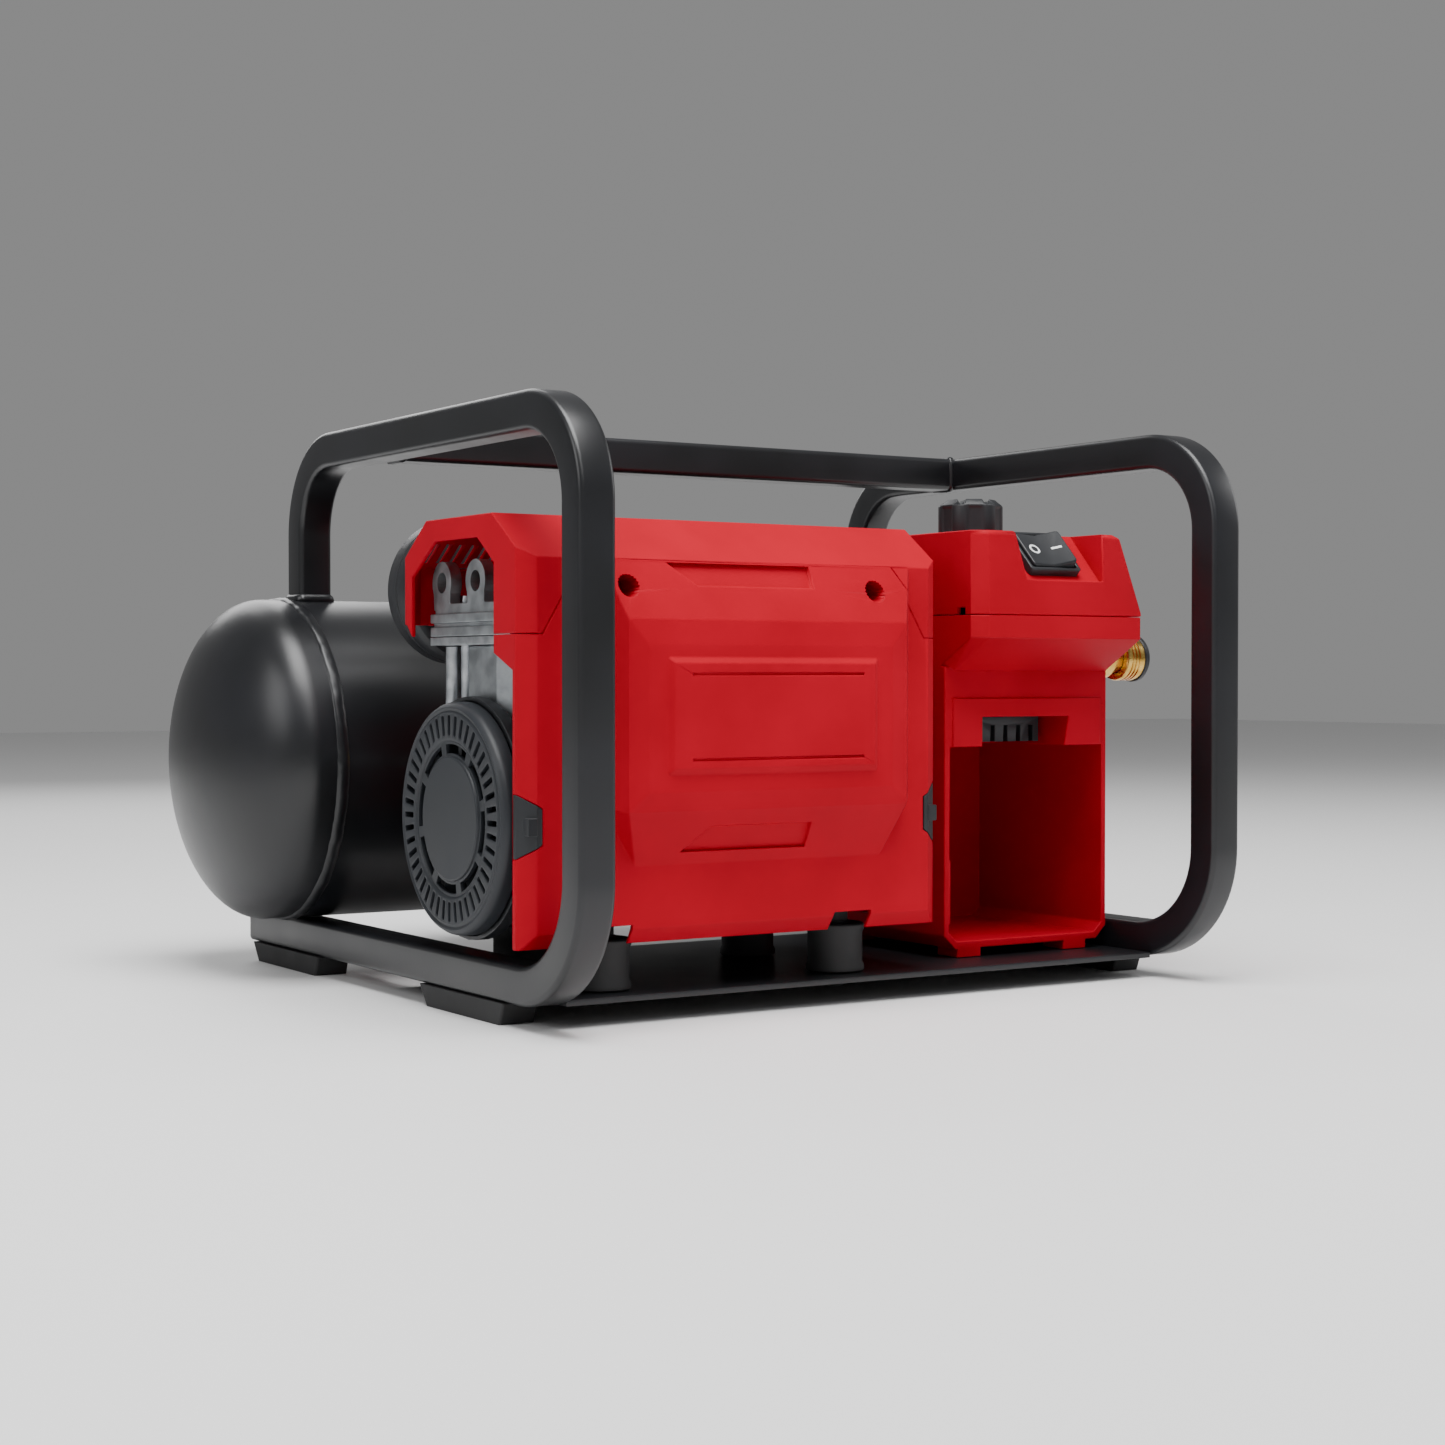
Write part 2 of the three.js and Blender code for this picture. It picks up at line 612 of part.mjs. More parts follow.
// Shallow dish behind the fan cover that guides the air over the pump.
function makeFanHousing() {
  const outer = FAN_COVER_RADIUS + 2.5;
  const inner = outer - 2;
  const profile = [[12, 7], [inner, 7], [inner, 2 + GAP], [outer, 2 + GAP], [outer, 9], [12, 9], [12, 7]];
  return piece("fan_housing", turned("x", profile, [0, 0, 0], 40), "black_plastic");
}

// Round guard: a plain centre, eight arc windows round it and a ring of radial slots.
function makeFanCover() {
  const radius = FAN_COVER_RADIUS;
  const profile = [
    [0, -8],
    [radius - 3, -8],
    [radius, -5],
    [radius, 2],
    [radius - 2.5, 2],
    [radius - 2.5, -5.2],
    [0, -5.2],
  ];
  const slots = Array.from({ length: 44 }, (_, i) => {
    const geometry = new THREE.BoxGeometry(20, 2.8, 0.18 * radius);
    return toSolid(geometry.translate(-8, 0, 0.785 * radius).rotateX((i / 44) * 2 * Math.PI));
  });
  const windows = Array.from({ length: 8 }, (_, i) => {
    const middle = ((i + 0.5) / 8) * 2 * Math.PI;
    const half = Math.PI / 8 - 0.07;
    const outline = new THREE.Shape();
    outline.absarc(0, 0, 0.645 * radius, middle - half, middle + half, false);
    outline.absarc(0, 0, 0.555 * radius, middle + half, middle - half, true);
    return prism("x", outline, -20, 0, 3);
  });
  const guard = cut(turned("x", profile, [0, 0, 0], 48), ...slots, ...windows);
  return piece("fan_cover", guard, "grey_plastic");
}

function makePump() {
  return groupAt(
    [0, SHAFT_Y, SHAFT_Z],
    makePumpBracket(),
    makeCrankcase(),
    makeCylinder(),
    makeValvePlate(),
    makeCylinderHead(),
    ...makeHeadBolts(),
    makeCrankshaft(),
    ...makePiston(),
    ...makeMotor(),
    makeCoolingFan(),
    makeFanHousing(),
    makeFanCover(),
  );
}

// Air lines

const DISCHARGE_Y = SHAFT_Y + 39;

// From under the head, down beside the cylinder and back to the check valve on the tank.
function makeDischargeTube() {
  const top = SHAFT_Z + CYLINDER_TOP - GAP;
  const end = TANK_Y - TANK_RADIUS - 20 - GAP;
  const route = [
    [14, DISCHARGE_Y, top],
    [14, DISCHARGE_Y, top - 30],
    [14, DISCHARGE_Y + 2, 142],
    [14.5, DISCHARGE_Y + 10, 134],
    [16, DISCHARGE_Y + 22, 128],
    [21, DISCHARGE_Y + 34, 123],
    [31, DISCHARGE_Y + 42, 120],
    [46, DISCHARGE_Y + 48, 118.5],
    [CHECK_VALVE_X, end - 10, TANK_Z],
    [CHECK_VALVE_X, end, TANK_Z],
  ];
  return piece("discharge_tube", pipe(route, 4, 26), "steel");
}

// From the tank's front to the back of the control box.
function makeOutletTube() {
  const tankEnd = TANK_Y - TANK_RADIUS + 5;
  const route = [
    [OUTLET_X, tankEnd, TANK_Z],
    [OUTLET_X, tankEnd - 14, TANK_Z],
    [OUTLET_X, 216, TANK_Z + 10],
    [OUTLET_X, 212, 150],
    [OUTLET_X, 206, 170],
    [OUTLET_X, 200, 174],
    [OUTLET_X, BOX_BACK - 8, 174],
  ];
  return piece("outlet_tube", pipe(route, 4, 24), "steel");
}

// Intake filter: a round canister on the back of the shroud, over the pump's end.
function makeIntakeFilter() {
  const wall = SHROUD_BACK + GAP;
  const profile = [
    [0, wall],
    [14, wall],
    [14, wall + 3],
    [35, wall + 3],
    [38, wall + 6],
    [38, wall + 27],
    [36, wall + 30],
    [0, wall + 30],
  ];
  return piece("intake_filter", turned("y", profile, [40, 0, 209], 32), "black_plastic");
}

// Shroud

const SEAM_HIGH = 220;
const SEAM_LOW = 184.5;
const SEAM_OUT = 11; // how far in from an end the seam stops sloping
const SEAM_IN = 32; // and where it starts

function shroudBody(wall, ends, floor) {
  const front = SHROUD_FRONT + wall;
  const back = SHROUD_BACK - wall;
  const top = SHROUD_TOP - wall;
  const slope = wall * 0.4;
  const side = [
    [front + 5, floor],
    [front + 5, 38],
    [front, 45],
    [front, SEAM_HIGH - slope],
    [front + 30.5 - slope, top],
    [back - 30.5 + slope, top],
    [back, SEAM_HIGH - slope],
    [back, 45],
    [back - 5, 38],
    [back - 5, floor],
  ];
  const left = SHROUD_LEFT + ends;
  const right = SHROUD_RIGHT - ends;
  const plan = [
    [left, front + 6.5],
    [left + 8, front],
    [right - 8, front],
    [right, front + 6.5],
    [right, back - 6.5],
    [right - 8, back],
    [left + 8, back],
    [left, back - 6.5],
  ];
  return meet(prism("x", side, left, right), prism("z", plan, 0, 300));
}

// The raised block on the front panel: a flat face inside two rows of facets, with its lower
// outer corners cut off.
function frontBlock(inset) {
  const rectangle = ([x0, x1], [z0, z1]) => [[x0, z0], [x1, z0], [x0, z1], [x1, z1]];
  const foot = [[38, 219.5], [217, 219.5], [38, 103], [217, 103], [56, 75], [199, 75]];
  const levels = [
    { y: SHROUD_FRONT + 3, corners: foot },
    { y: SHROUD_FRONT, corners: foot },
    { y: 35, corners: rectangle([45.5, 206.5], [101, 191.5]) },
    { y: 33.5, corners: rectangle([55.5, 196.5], [110, 179.5]) },
  ];
  const towards = (value, centre) => value + Math.sign(centre - value) * inset;
  const points = levels.flatMap(({ y, corners }) =>
    corners.map(([x, z]) => [towards(x, SHROUD_MIDDLE), y + inset, towards(z, 145)]),
  );
  return hull(points);
}

// Air-flow opening in the left end, which leaves a rim round the hood.
function hoodOpening() {
  const outline = [
    [57.5, 20],
    [57.5, 167.5],
    [76.5, 175.6],
    [76.5, 218],
    [94, 230.7],
    [140, 230.7],
    [166, 214],
    [166, 20],
  ];
  return prism("x", outline, SHROUD_LEFT - 1, SHROUD_LEFT + 4);
}

// The back panel stops short of the left end, where the air lines leave the pump.
function backCutAway() {
  const chamfer = SEAM_LOW + 6;
  const outline = [[150, 20], [150, SEAM_LOW], [166, SEAM_LOW], [172, chamfer], [190, chamfer], [190, 20]];
  return prism("x", outline, SHROUD_LEFT - 2, 32);
}

function clipNotch(grow) {
  const outline = [
    [SHROUD_LEFT - 1, 79 - grow],
    [SHROUD_LEFT + 11 + grow, 86.5 - grow],
    [SHROUD_LEFT + 11 + grow, 103.5 + grow],
    [SHROUD_LEFT - 1, 111 + grow],
  ];
  return prism("y", outline, SHROUD_FRONT - 4, SHROUD_FRONT + 9);
}

function mirrored(solid) {
  return solid.mirror([1, 0, 0]).translate([2 * SHROUD_MIDDLE, 0, 0]);
}

function seamRegion(drop) {
  const outline = [
    [SHROUD_LEFT - 9, SEAM_LOW - drop],
    [SHROUD_LEFT + SEAM_OUT, SEAM_LOW - drop],
    [SHROUD_LEFT + SEAM_IN, SEAM_HIGH - drop],
    [SHROUD_RIGHT - SEAM_IN, SEAM_HIGH - drop],
    [SHROUD_RIGHT - SEAM_OUT, SEAM_LOW - drop],
    [SHROUD_RIGHT + 9, SEAM_LOW - drop],
    [SHROUD_RIGHT + 9, 260],
    [SHROUD_LEFT - 9, 260],
  ];
  return prism("y", outline, 0, 220);
}

// Raised badge plate with two thin grooves, and the shallow pockets above and below it.
function badgePlate() {
  const base = { y: 34.5, x: [64.5, 188.5], z: [117, 175] };
  const face = { y: 31.3, x: [68.5, 184.5], z: [121, 171] };
  const corners = ({ y, x, z }) => x.flatMap((px) => z.map((pz) => [px, y, pz]));
  const plate = hull([...corners(base), ...corners(face)]);
  const grooves = [165.8, 125.2].map((z) => block([78.5, 30.5, z - 0.6], [177.5, 32.1, z + 0.6]));
  return cut(plate, ...grooves);
}

function frontPockets() {
  const depth = 2.2;
  const rise = SHROUD_FRONT - 35;
  const upperFloor = (z) => 35 + (rise * (z - 191.5)) / 28 + depth;
  const lowerFloor = (z) => 35 + (rise * (101 - z)) / 26 + depth;
  const upper = hull([
    [70, 30, 219.4],
    [86, 30, 206],
    [157, 30, 206],
    [157, 30, 219.4],
    [73, upperFloor(219.4), 219.4],
    [88, upperFloor(208), 208],
    [155, upperFloor(208), 208],
    [155, upperFloor(219.4), 219.4],
  ]);
  const lower = hull([
    [78, 30, 81],
    [93, 30, 95],
    [153, 30, 95],
    [153, 30, 81],
    [80, lowerFloor(81), 81],
    [94, lowerFloor(93), 93],
    [151, lowerFloor(93), 93],
    [151, lowerFloor(81), 81],
  ]);
  return [upper, lower];
}

const SCREW_PLACES = [[49.5, 207], [192, 207]];

function makeShroud() {
  const outside = join(shroudBody(0, 0, 38), frontBlock(0), badgePlate());
  const inside = join(shroudBody(SHELL, SHELL, 20), frontBlock(4));
  const bosses = SCREW_PLACES.map(([x, z]) => rod("y", 8, 46, 64, [x, 0, z], 20));
  const pits = SCREW_PLACES.map(([x, z]) => rod("y", 5.5, 30, 60, [x, 0, z], 20));
  const isolatorNotches = [[171, 194], [42, 55]].map(([from, to]) =>
    block([from, 40, 20], [to, 60, 47]),
  );
  const louvres = Array.from({ length: 7 }, (_, i) =>
    block([80 + 16 * i, SHROUD_BACK - 5, 90], [88 + 16 * i, SHROUD_BACK + 2, 150]),
  );
  const vents = Array.from({ length: 6 }, (_, i) =>
    block([6 + 7 * i, SHROUD_BACK - 20, 222], [9 + 7 * i, SHROUD_BACK + 2, 232]),
  );
  const bossed = join(cut(outside, inside), ...bosses);
  const shell = cut(
    bossed,
    ...pits,
    ...frontPockets(),
    hoodOpening(),
    backCutAway(),
    clipNotch(0),
    mirrored(clipNotch(0)),
    ...isolatorNotches,
    ...louvres,
    ...vents,
  );
  const top = meet(shell, seamRegion(0));
  const lower = cut(shell, seamRegion(GAP));
  const middle = (SHROUD_FRONT + SHROUD_BACK) / 2;
  const front = meet(lower, block([-50, 0, 0], [300, middle - GAP / 2, 300]));
  const back = meet(lower, block([-50, middle + GAP / 2, 0], [300, 260, 300]));
  return [
    piece("shroud_top", top, "red_plastic"),
    piece("shroud_front", front, "red_plastic"),
    piece("shroud_back", back, "red_plastic"),
    ...makeClips(),
  ];
}

// Snap clips that show through the notches at the front corners, each with a small square boss.
function makeClips() {
  const skin = cut(shroudBody(0, 0, 38), shroudBody(SHELL + 1.5, SHELL + 1.5, 20));
  const boss = block([-1, SHROUD_FRONT - 0.8, 91], [4, SHROUD_FRONT + 5, 99]);
  const left = join(meet(skin, clipNotch(-GAP)), boss);
  return [
    piece("clip_left", left, "black_plastic"),
    piece("clip_right", mirrored(left), "black_plastic"),
  ];
}

// Control box

const BOX_SEAM = 197;
const CHIN_TOP = 185;
const CHIN_BOTTOM = 168;
const BAY_FLOOR = 23;
const BAY_CEILING = 127;
const BAY_WALL = 3.5;
const FRONT_PLAN = [
  [BOX_LEFT, 60],
  [BOX_LEFT + 8, 54.5],
  [329.5, 52],
  [BOX_RIGHT, 54],
];

// The box's upper part hangs out over the bay, with a sloping chin under it.
function makeControlBase() {
  const backRow = [[BOX_RIGHT, BOX_BACK], [BOX_LEFT, BOX_BACK]];
  const plan = [...FRONT_PLAN, ...backRow];
  const chin = [
    [BOX_LEFT, 90],
    [BOX_LEFT + 6, BAY_FRONT],
    [328, BAY_FRONT - 1],
    [BOX_RIGHT, BAY_FRONT],
    ...backRow,
  ];
  const overhang = hull([
    ...plan.flatMap(([x, y]) => [[x, y, BOX_SEAM], [x, y, CHIN_TOP]]),
    ...chin.map(([x, y]) => [x, y, CHIN_BOTTOM]),
  ]);
  const corner = 7;
  const bayOutline = [
    [BOX_LEFT, 19 + corner],
    [BOX_LEFT + corner, 19],
    [BOX_RIGHT - corner, 19],
    [BOX_RIGHT, 19 + corner],
    [BOX_RIGHT, CHIN_BOTTOM + 2],
    [BOX_LEFT, CHIN_BOTTOM + 2],
  ];
  const bay = prism("y", bayOutline, BAY_FRONT, BOX_BACK);
  const fascia = block([BOX_LEFT + 5, BAY_FRONT - 1.2, BAY_CEILING], [BOX_RIGHT - 5, BAY_FRONT + 3, 153]);
  const feet = [[276, 292], [350, 366]].flatMap(([from, to]) =>
    [[BAY_FRONT, BAY_FRONT + 18], [BOX_BACK - 18, BOX_BACK]].map(([front, back]) =>
      block([from, front, PLATE_TOP + GAP], [to, back, 20]),
    ),
  );
  const bayInside = [
    [BOX_LEFT + BAY_WALL, BAY_FLOOR + 5],
    [BOX_LEFT + BAY_WALL + 5, BAY_FLOOR],
    [BOX_RIGHT - BAY_WALL - 5, BAY_FLOOR],
    [BOX_RIGHT - BAY_WALL, BAY_FLOOR + 5],
    [BOX_RIGHT - BAY_WALL, BAY_CEILING],
    [BOX_LEFT + BAY_WALL, BAY_CEILING],
  ];
  const bayRoom = prism("y", bayInside, 60, BOX_BACK - 6);
  const notch = prism("y", [[292, 120], [292, 143], [352, 143], [348, 120]], 60, 140);
  const upperRoom = cut(
    block([BOX_LEFT + SHELL, BAY_FRONT + 4, 131], [BOX_RIGHT - SHELL, BOX_BACK - SHELL, 210]),
    block([287, 70, 120], [355, 145, 147]),
  );
  const chinRoom = block([BOX_LEFT + 12, 60, CHIN_TOP + 3], [BOX_RIGHT - SHELL, 90, 210]);
  const couplerHole = rod("x", 9, 360, 400, [0, COUPLER_Y, COUPLER_Z], 24);
  const tubeHole = rod("y", 5, BOX_BACK - 10, BOX_BACK + 5, [OUTLET_X, 0, 174], 16);
  const pad = prism("x", [[84, 32], [84, 66], [104, 86], [150, 86], [150, 32]], BOX_LEFT + 3, BOX_LEFT + 6);
  const shell = cut(join(overhang, bay, fascia, ...feet), bayRoom, notch, upperRoom, chinRoom);
  const base = cut(join(shell, pad), couplerHole, tubeHole);
  return piece("control_base", base, "red_plastic");
}

const SWITCH_SLOPE = Math.PI / 4;
const SWITCH_CENTRE = [322, 67.5, 230.5];
const KNOB_PLACE = [308, 112];
const KNOB_RADIUS = 17;
const GAUGE_SLOPE = 0.38; // lean of the box's right side, in radians
const GAUGE_RADIUS = 16.5;
const GAUGE_PLACES = { tank: 104, line: 150 };

function coverHull(inset, bottom) {
  const lowPlan = [...FRONT_PLAN, [BOX_RIGHT, BOX_BACK], [BOX_LEFT, BOX_BACK]];
  const centre = [(BOX_LEFT + BOX_RIGHT) / 2, 125];
  const shrink = ([x, y]) => [x + Math.sign(centre[0] - x) * inset, y + Math.sign(centre[1] - y) * inset];
  const low = lowPlan.map(shrink);
  const points = low.map(([x, y]) => [x, y, bottom]);
  low.forEach(([x, y]) => points.push([x, y, BOX_SEAM + 3]));
  const topRight = 365 - inset;
  low.forEach(([x, y]) => points.push([Math.min(x, topRight), y, BOX_TOP - 2 - inset]));
  const settle = (y) => (y < 100 ? y + 1.5 : y - 1.5);
  low.forEach(([x, y]) => points.push([Math.min(x, topRight - 4), settle(y), BOX_TOP - inset]));
  return hull(points);
}

// Sloping pocket in the front top edge that holds the switch.
function switchPocket(grow) {
  const wide = { left: 289 - grow, right: 352 + grow };
  const narrow = { left: 300 - grow, right: 352 + grow };
  const low = 216 - grow;
  return hull([
    [narrow.left, 40, low],
    [narrow.right, 40, low],
    [narrow.left, 56 + grow, low],
    [narrow.right, 56 + grow, low],
    [wide.left, 40, 250],
    [wide.right, 40, 250],
    [wide.left, 88 + grow, 250],
    [wide.right, 88 + grow, 250],
  ]);
}

function inSwitchFrame(solid) {
  const tilt = (SWITCH_SLOPE * 180) / Math.PI;
  return solid.rotate([tilt, 0, 0]).translate(SWITCH_CENTRE);
}

function inGaugeFrame(solid, y) {
  const lean = (GAUGE_SLOPE * 180) / Math.PI;
  return solid.rotate([0, -lean, 0]).translate([373.2, y, 219]);
}

function makeControlCover() {
  const outside = coverHull(0, BOX_SEAM + GAP);
  const inside = cut(coverHull(SHELL, BOX_SEAM - 5), switchPocket(SHELL));
  const aperture = inSwitchFrame(block([-15.4, -12.8, -30], [15.4, 12.8, 20]));
  const knobHole = rod("z", 6, 220, 260, [...KNOB_PLACE, 0], 20);
  const gaugeHoles = Object.values(GAUGE_PLACES).map((y) =>
    inGaugeFrame(rod("x", GAUGE_RADIUS + GAP, -15, 15, [0, 0, 0], 36), y),
  );
  const wireHole = block([BOX_LEFT - 1, 65, BOX_SEAM - 1], [BOX_LEFT + 6, 71, BOX_SEAM + 4]);
  const holes = [aperture, knobHole, wireHole, ...gaugeHoles];
  const cover = cut(outside, inside, switchPocket(0), ...holes);
  return piece("control_cover", cover, "red_plastic");
}

// Rocker with two flat halves that meet in a shallow valley; at rest its left end is down.
function makeRocker() {
  const outline = [[-14.2, -6], [14.2, -6], [14.2, 4.2], [0, 1.2], [-14.2, 4.2]];
  const body = prism("y", outline, -12.3, 12.3);
  const rest = body.rotate([0, -7, 0]);
  return piece("rocker_switch", inSwitchFrame(rest), "black_plastic");
}

// Regulator valve body under the knob, drilled block and outlet nipple for the coupler.
function makeManifold() {
  const valve = rod("z", 12, 160, 236, [...KNOB_PLACE, 0], 28);
  const stem = rod("z", 5.5, 235, BOX_TOP + GAP + 3, [...KNOB_PLACE, 0], 20);
  const drilled = block([296, 86.5, 164], [368, 124, 186]);
  const outlet = rod("x", 8, 360, BOX_RIGHT + GAP, [0, COUPLER_Y, COUPLER_Z], 24);
  const inlet = rod("y", 4.5, 120, BOX_BACK - 9, [OUTLET_X, 0, 174], 16);
  return piece("manifold", join(valve, stem, drilled, outlet, inlet), "cast_aluminium");
}

function makeRegulatorKnob() {
  const bottom = BOX_TOP + 1;
  const grips = 6;
  const top = bottom + 19.5;
  const profile = [[0, bottom], [KNOB_RADIUS, bottom], [KNOB_RADIUS, top - 3.5], [KNOB_RADIUS - 3, top], [0, top]];
  const body = turned("z", profile, [...KNOB_PLACE, 0], 24);
  const scallops = Array.from({ length: grips }, (_, i) => {
    const angle = (i / grips) * 2 * Math.PI;
    const reach = KNOB_RADIUS + 3;
    const at = [KNOB_PLACE[0] + reach * Math.cos(angle), KNOB_PLACE[1] + reach * Math.sin(angle), 0];
    return rod("z", 5, bottom + 2.5, bottom + 30, at, 12);
  });
  const socket = rod("z", 5.5 + GAP, 230, BOX_TOP + 4, [...KNOB_PLACE, 0], 20);
  return piece("regulator_knob", cut(body, ...scallops, socket), "black_plastic");
}

// Gauge: a cup with its dial set back, and a needle on a short pivot in front of it.
function makeGauge(name, y) {
  const profile = [
    [0, -14],
    [GAUGE_RADIUS, -14],
    [GAUGE_RADIUS, 1.8],
    [GAUGE_RADIUS - 1.4, 2.8],
    [GAUGE_RADIUS - 2.4, 2.8],
    [GAUGE_RADIUS - 2.4, -1],
    [0, -1],
  ];
  const cup = turned("x", profile, [0, 0, 0], 36);
  const hub = rod("x", 2.2, -0.7, 0.9, [0, 0, 0], 16);
  const pointer = new THREE.BoxGeometry(0.8, 1.1, 14);
  pointer.translate(0.3, 0, 4).rotateX(Math.PI * 0.75);
  const needle = join(hub, toSolid(pointer));
  return [
    piece(name + "_gauge", inGaugeFrame(cup, y), "black_plastic"),
    piece(name + "_gauge_needle", inGaugeFrame(needle, y), "black_plastic"),
  ];
}

// Quick coupler on the box's right side: a brass body with its plug bore, and the pull-back sleeve.
function makeCoupler() {
  const at = [BOX_RIGHT + 2 * GAP, COUPLER_Y, COUPLER_Z];
  const bodyProfile = [
    [0, 0],
    [11, 0],
    [11, 8],
    [8.5, 8],
    [8.5, 31],
    [5.6, 31],
    [5.6, 10],
    [0, 10],
  ];
  const sleeve = ring("x", 12.5, 8.5 + GAP, 14.5, 28, at, 32);
  const bumper = ring("x", 13.2, 8.5 + GAP, 27.5, 30.5, at, 32);
  return [
    piece("coupler_body", turned("x", bodyProfile, at, 32), "brass"),
    piece("coupler_sleeve", join(sleeve, bumper), "brass"),
  ];
}

// Block with the battery's contact blades, in the roof of the bay.
function makeTerminalBlock() {
  const body = block([297, 98, 129], [345, 136, 143 - GAP]);
  const slots = Array.from({ length: 5 }, (_, i) =>
    block([302 + 9 * i, 96, 127], [305 + 9 * i, 128, 138]),
  );
  return piece("terminal_block", cut(body, ...slots), "black_plastic");
}

function makeControlBox() {
  const gauges = Object.entries(GAUGE_PLACES).flatMap(([name, y]) => makeGauge(name, y));
  return [
    makeControlBase(),
    makeControlCover(),
    makeTerminalBlock(),
    makeManifold(),
    makeRegulatorKnob(),
    makeRocker(),
    ...gauges,
    ...makeCoupler(),
  ];
}

const compressor = groupAt(
  [-FRAME_LENGTH / 2, -TANK_BACK / 2, 0],
  makeFrame(),
  makeTank(),
  makePump(),
  makeDischargeTube(),
  makeOutletTube(),
  makeIntakeFilter(),
  ...makeShroud(),
  ...makeControlBox(),
);

export default compressor;
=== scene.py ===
import json
import math

import bpy
from mathutils import Matrix, Vector


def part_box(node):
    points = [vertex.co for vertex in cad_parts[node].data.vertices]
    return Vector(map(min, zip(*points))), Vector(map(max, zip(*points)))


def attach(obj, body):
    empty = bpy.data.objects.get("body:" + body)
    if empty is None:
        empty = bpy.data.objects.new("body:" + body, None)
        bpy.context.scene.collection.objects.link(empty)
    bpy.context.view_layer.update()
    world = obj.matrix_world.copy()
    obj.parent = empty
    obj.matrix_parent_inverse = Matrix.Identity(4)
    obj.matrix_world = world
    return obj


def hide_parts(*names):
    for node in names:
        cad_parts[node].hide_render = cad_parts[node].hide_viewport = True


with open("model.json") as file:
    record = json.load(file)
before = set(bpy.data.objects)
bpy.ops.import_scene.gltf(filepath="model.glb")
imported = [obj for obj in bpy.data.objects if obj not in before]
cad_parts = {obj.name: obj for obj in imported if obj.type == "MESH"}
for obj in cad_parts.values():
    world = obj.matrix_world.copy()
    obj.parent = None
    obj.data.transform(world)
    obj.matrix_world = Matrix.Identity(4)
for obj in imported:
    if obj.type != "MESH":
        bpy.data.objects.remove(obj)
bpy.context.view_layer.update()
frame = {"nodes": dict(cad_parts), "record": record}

# A small cordless air compressor. The CAD frame gives every place and size; the shells are
# softened copies of its nodes, and the turned, bent and moulded pieces are modelled here.

bodies = frame["record"]["behaviour"]["bodies"]
bodyOf = {node: body for body, nodes in bodies.items() for node in nodes}
slotOf = {row["node"]: row["material_slot"] for row in frame["record"]["subparts"]}
quarterTurn = math.pi / 2
axisVector = {"x": Vector((1, 0, 0)), "y": Vector((0, 1, 0)), "z": Vector((0, 0, 1))}
along = 0.9  # cosine from which an edge or a normal counts as lying along an axis
near = 1e-5
weldWithin = 2e-6
flatAngle = math.radians(0.8)  # neighbouring CAD faces that turn by less are one flat face


def boxOf(node):
    low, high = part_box(node)
    return Vector(low), Vector(high)


def middleOf(node):
    low, high = boxOf(node)
    return (low + high) / 2


def clearSelection():
    if bpy.context.object and bpy.context.object.mode != "OBJECT":
        bpy.ops.object.mode_set(mode="OBJECT")
    bpy.ops.object.select_all(action="DESELECT")


def pick(piece):
    clearSelection()
    bpy.context.view_layer.objects.active = piece
    piece.select_set(True)


def startEditing(piece, mode="FACE"):
    pick(piece)
    bpy.ops.object.mode_set(mode="EDIT")
    bpy.ops.mesh.select_mode(type=mode)
    bpy.ops.mesh.select_all(action="SELECT")


def stopEditing():
    bpy.ops.object.mode_set(mode="OBJECT")


def settle(piece):
    pick(piece)
    bpy.ops.object.transform_apply(location=True, rotation=True, scale=True)


# the axis and the pivot of one of the record's joints
def jointNamed(name):
    joint = next(j for j in frame["record"]["behaviour"]["joints"] if j["name"] == name)
    return Vector(joint["axis"]), Vector(joint["pos_m"])


# selects faces, or edges, by a test of their middle and of their normal or direction
def selectWhere(piece, kind, test):
    bpy.ops.mesh.select_mode(type="FACE" if kind == "faces" else "EDGE")
    bpy.ops.mesh.select_all(action="DESELECT")
    stopEditing()
    mesh = piece.data
    if kind == "faces":
        for face in mesh.polygons:
            face.select = test(face.center, face.normal)
    else:
        for edge in mesh.edges:
            start, end = (mesh.vertices[i].co for i in edge.vertices)
            edge.select = test((start + end) / 2, (end - start).normalized())
    bpy.ops.object.mode_set(mode="EDIT")


# rounds the edges of a piece that run along one axis
def roundAlong(piece, axis, radius, steps):
    startEditing(piece)
    selectWhere(piece, "edges", lambda centre, way: abs(way.dot(axisVector[axis])) > along)
    bpy.ops.mesh.bevel(offset=radius, segments=steps, affect="EDGES")
    stopEditing()


# how far each edge turns between its two faces, in radians
def edgeTurns(piece):
    mesh = piece.data
    sides = {}
    for face in mesh.polygons:
        for key in face.edge_keys:
            sides.setdefault(key, []).append(face.normal)
    turns = []
    for edge in mesh.edges:
        normals = sides.get(edge.key, [])
        turns.append(normals[0].angle(normals[1], 0) if len(normals) == 2 else 0)
    return turns


def edgeLength(mesh, index):
    start, end = (mesh.vertices[i].co for i in mesh.edges[index].vertices)
    return (end - start).length


def selectEdges(piece, chosen):
    startEditing(piece, "EDGE")
    bpy.ops.mesh.select_all(action="DESELECT")
    stopEditing()
    for edge, wanted in zip(piece.data.edges, chosen):
        edge.select = wanted
    bpy.ops.object.mode_set(mode="EDIT")


def modify(piece, kind, **settings):
    pick(piece)
    modifier = piece.modifiers.new(kind.title(), kind)
    for key, value in settings.items():
        setattr(modifier, key, value)
    bpy.ops.object.modifier_apply(modifier=modifier.name)


def soften(piece, width, steps=2, limit=28):
    modify(piece, "BEVEL", width=width, segments=steps, limit_method="ANGLE",
           angle_limit=math.radians(limit), use_clamp_overlap=False, miter_outer="MITER_ARC")
    smooth(piece, 35)
    modify(piece, "WEIGHTED_NORMAL", keep_sharp=True, mode="FACE_AREA")


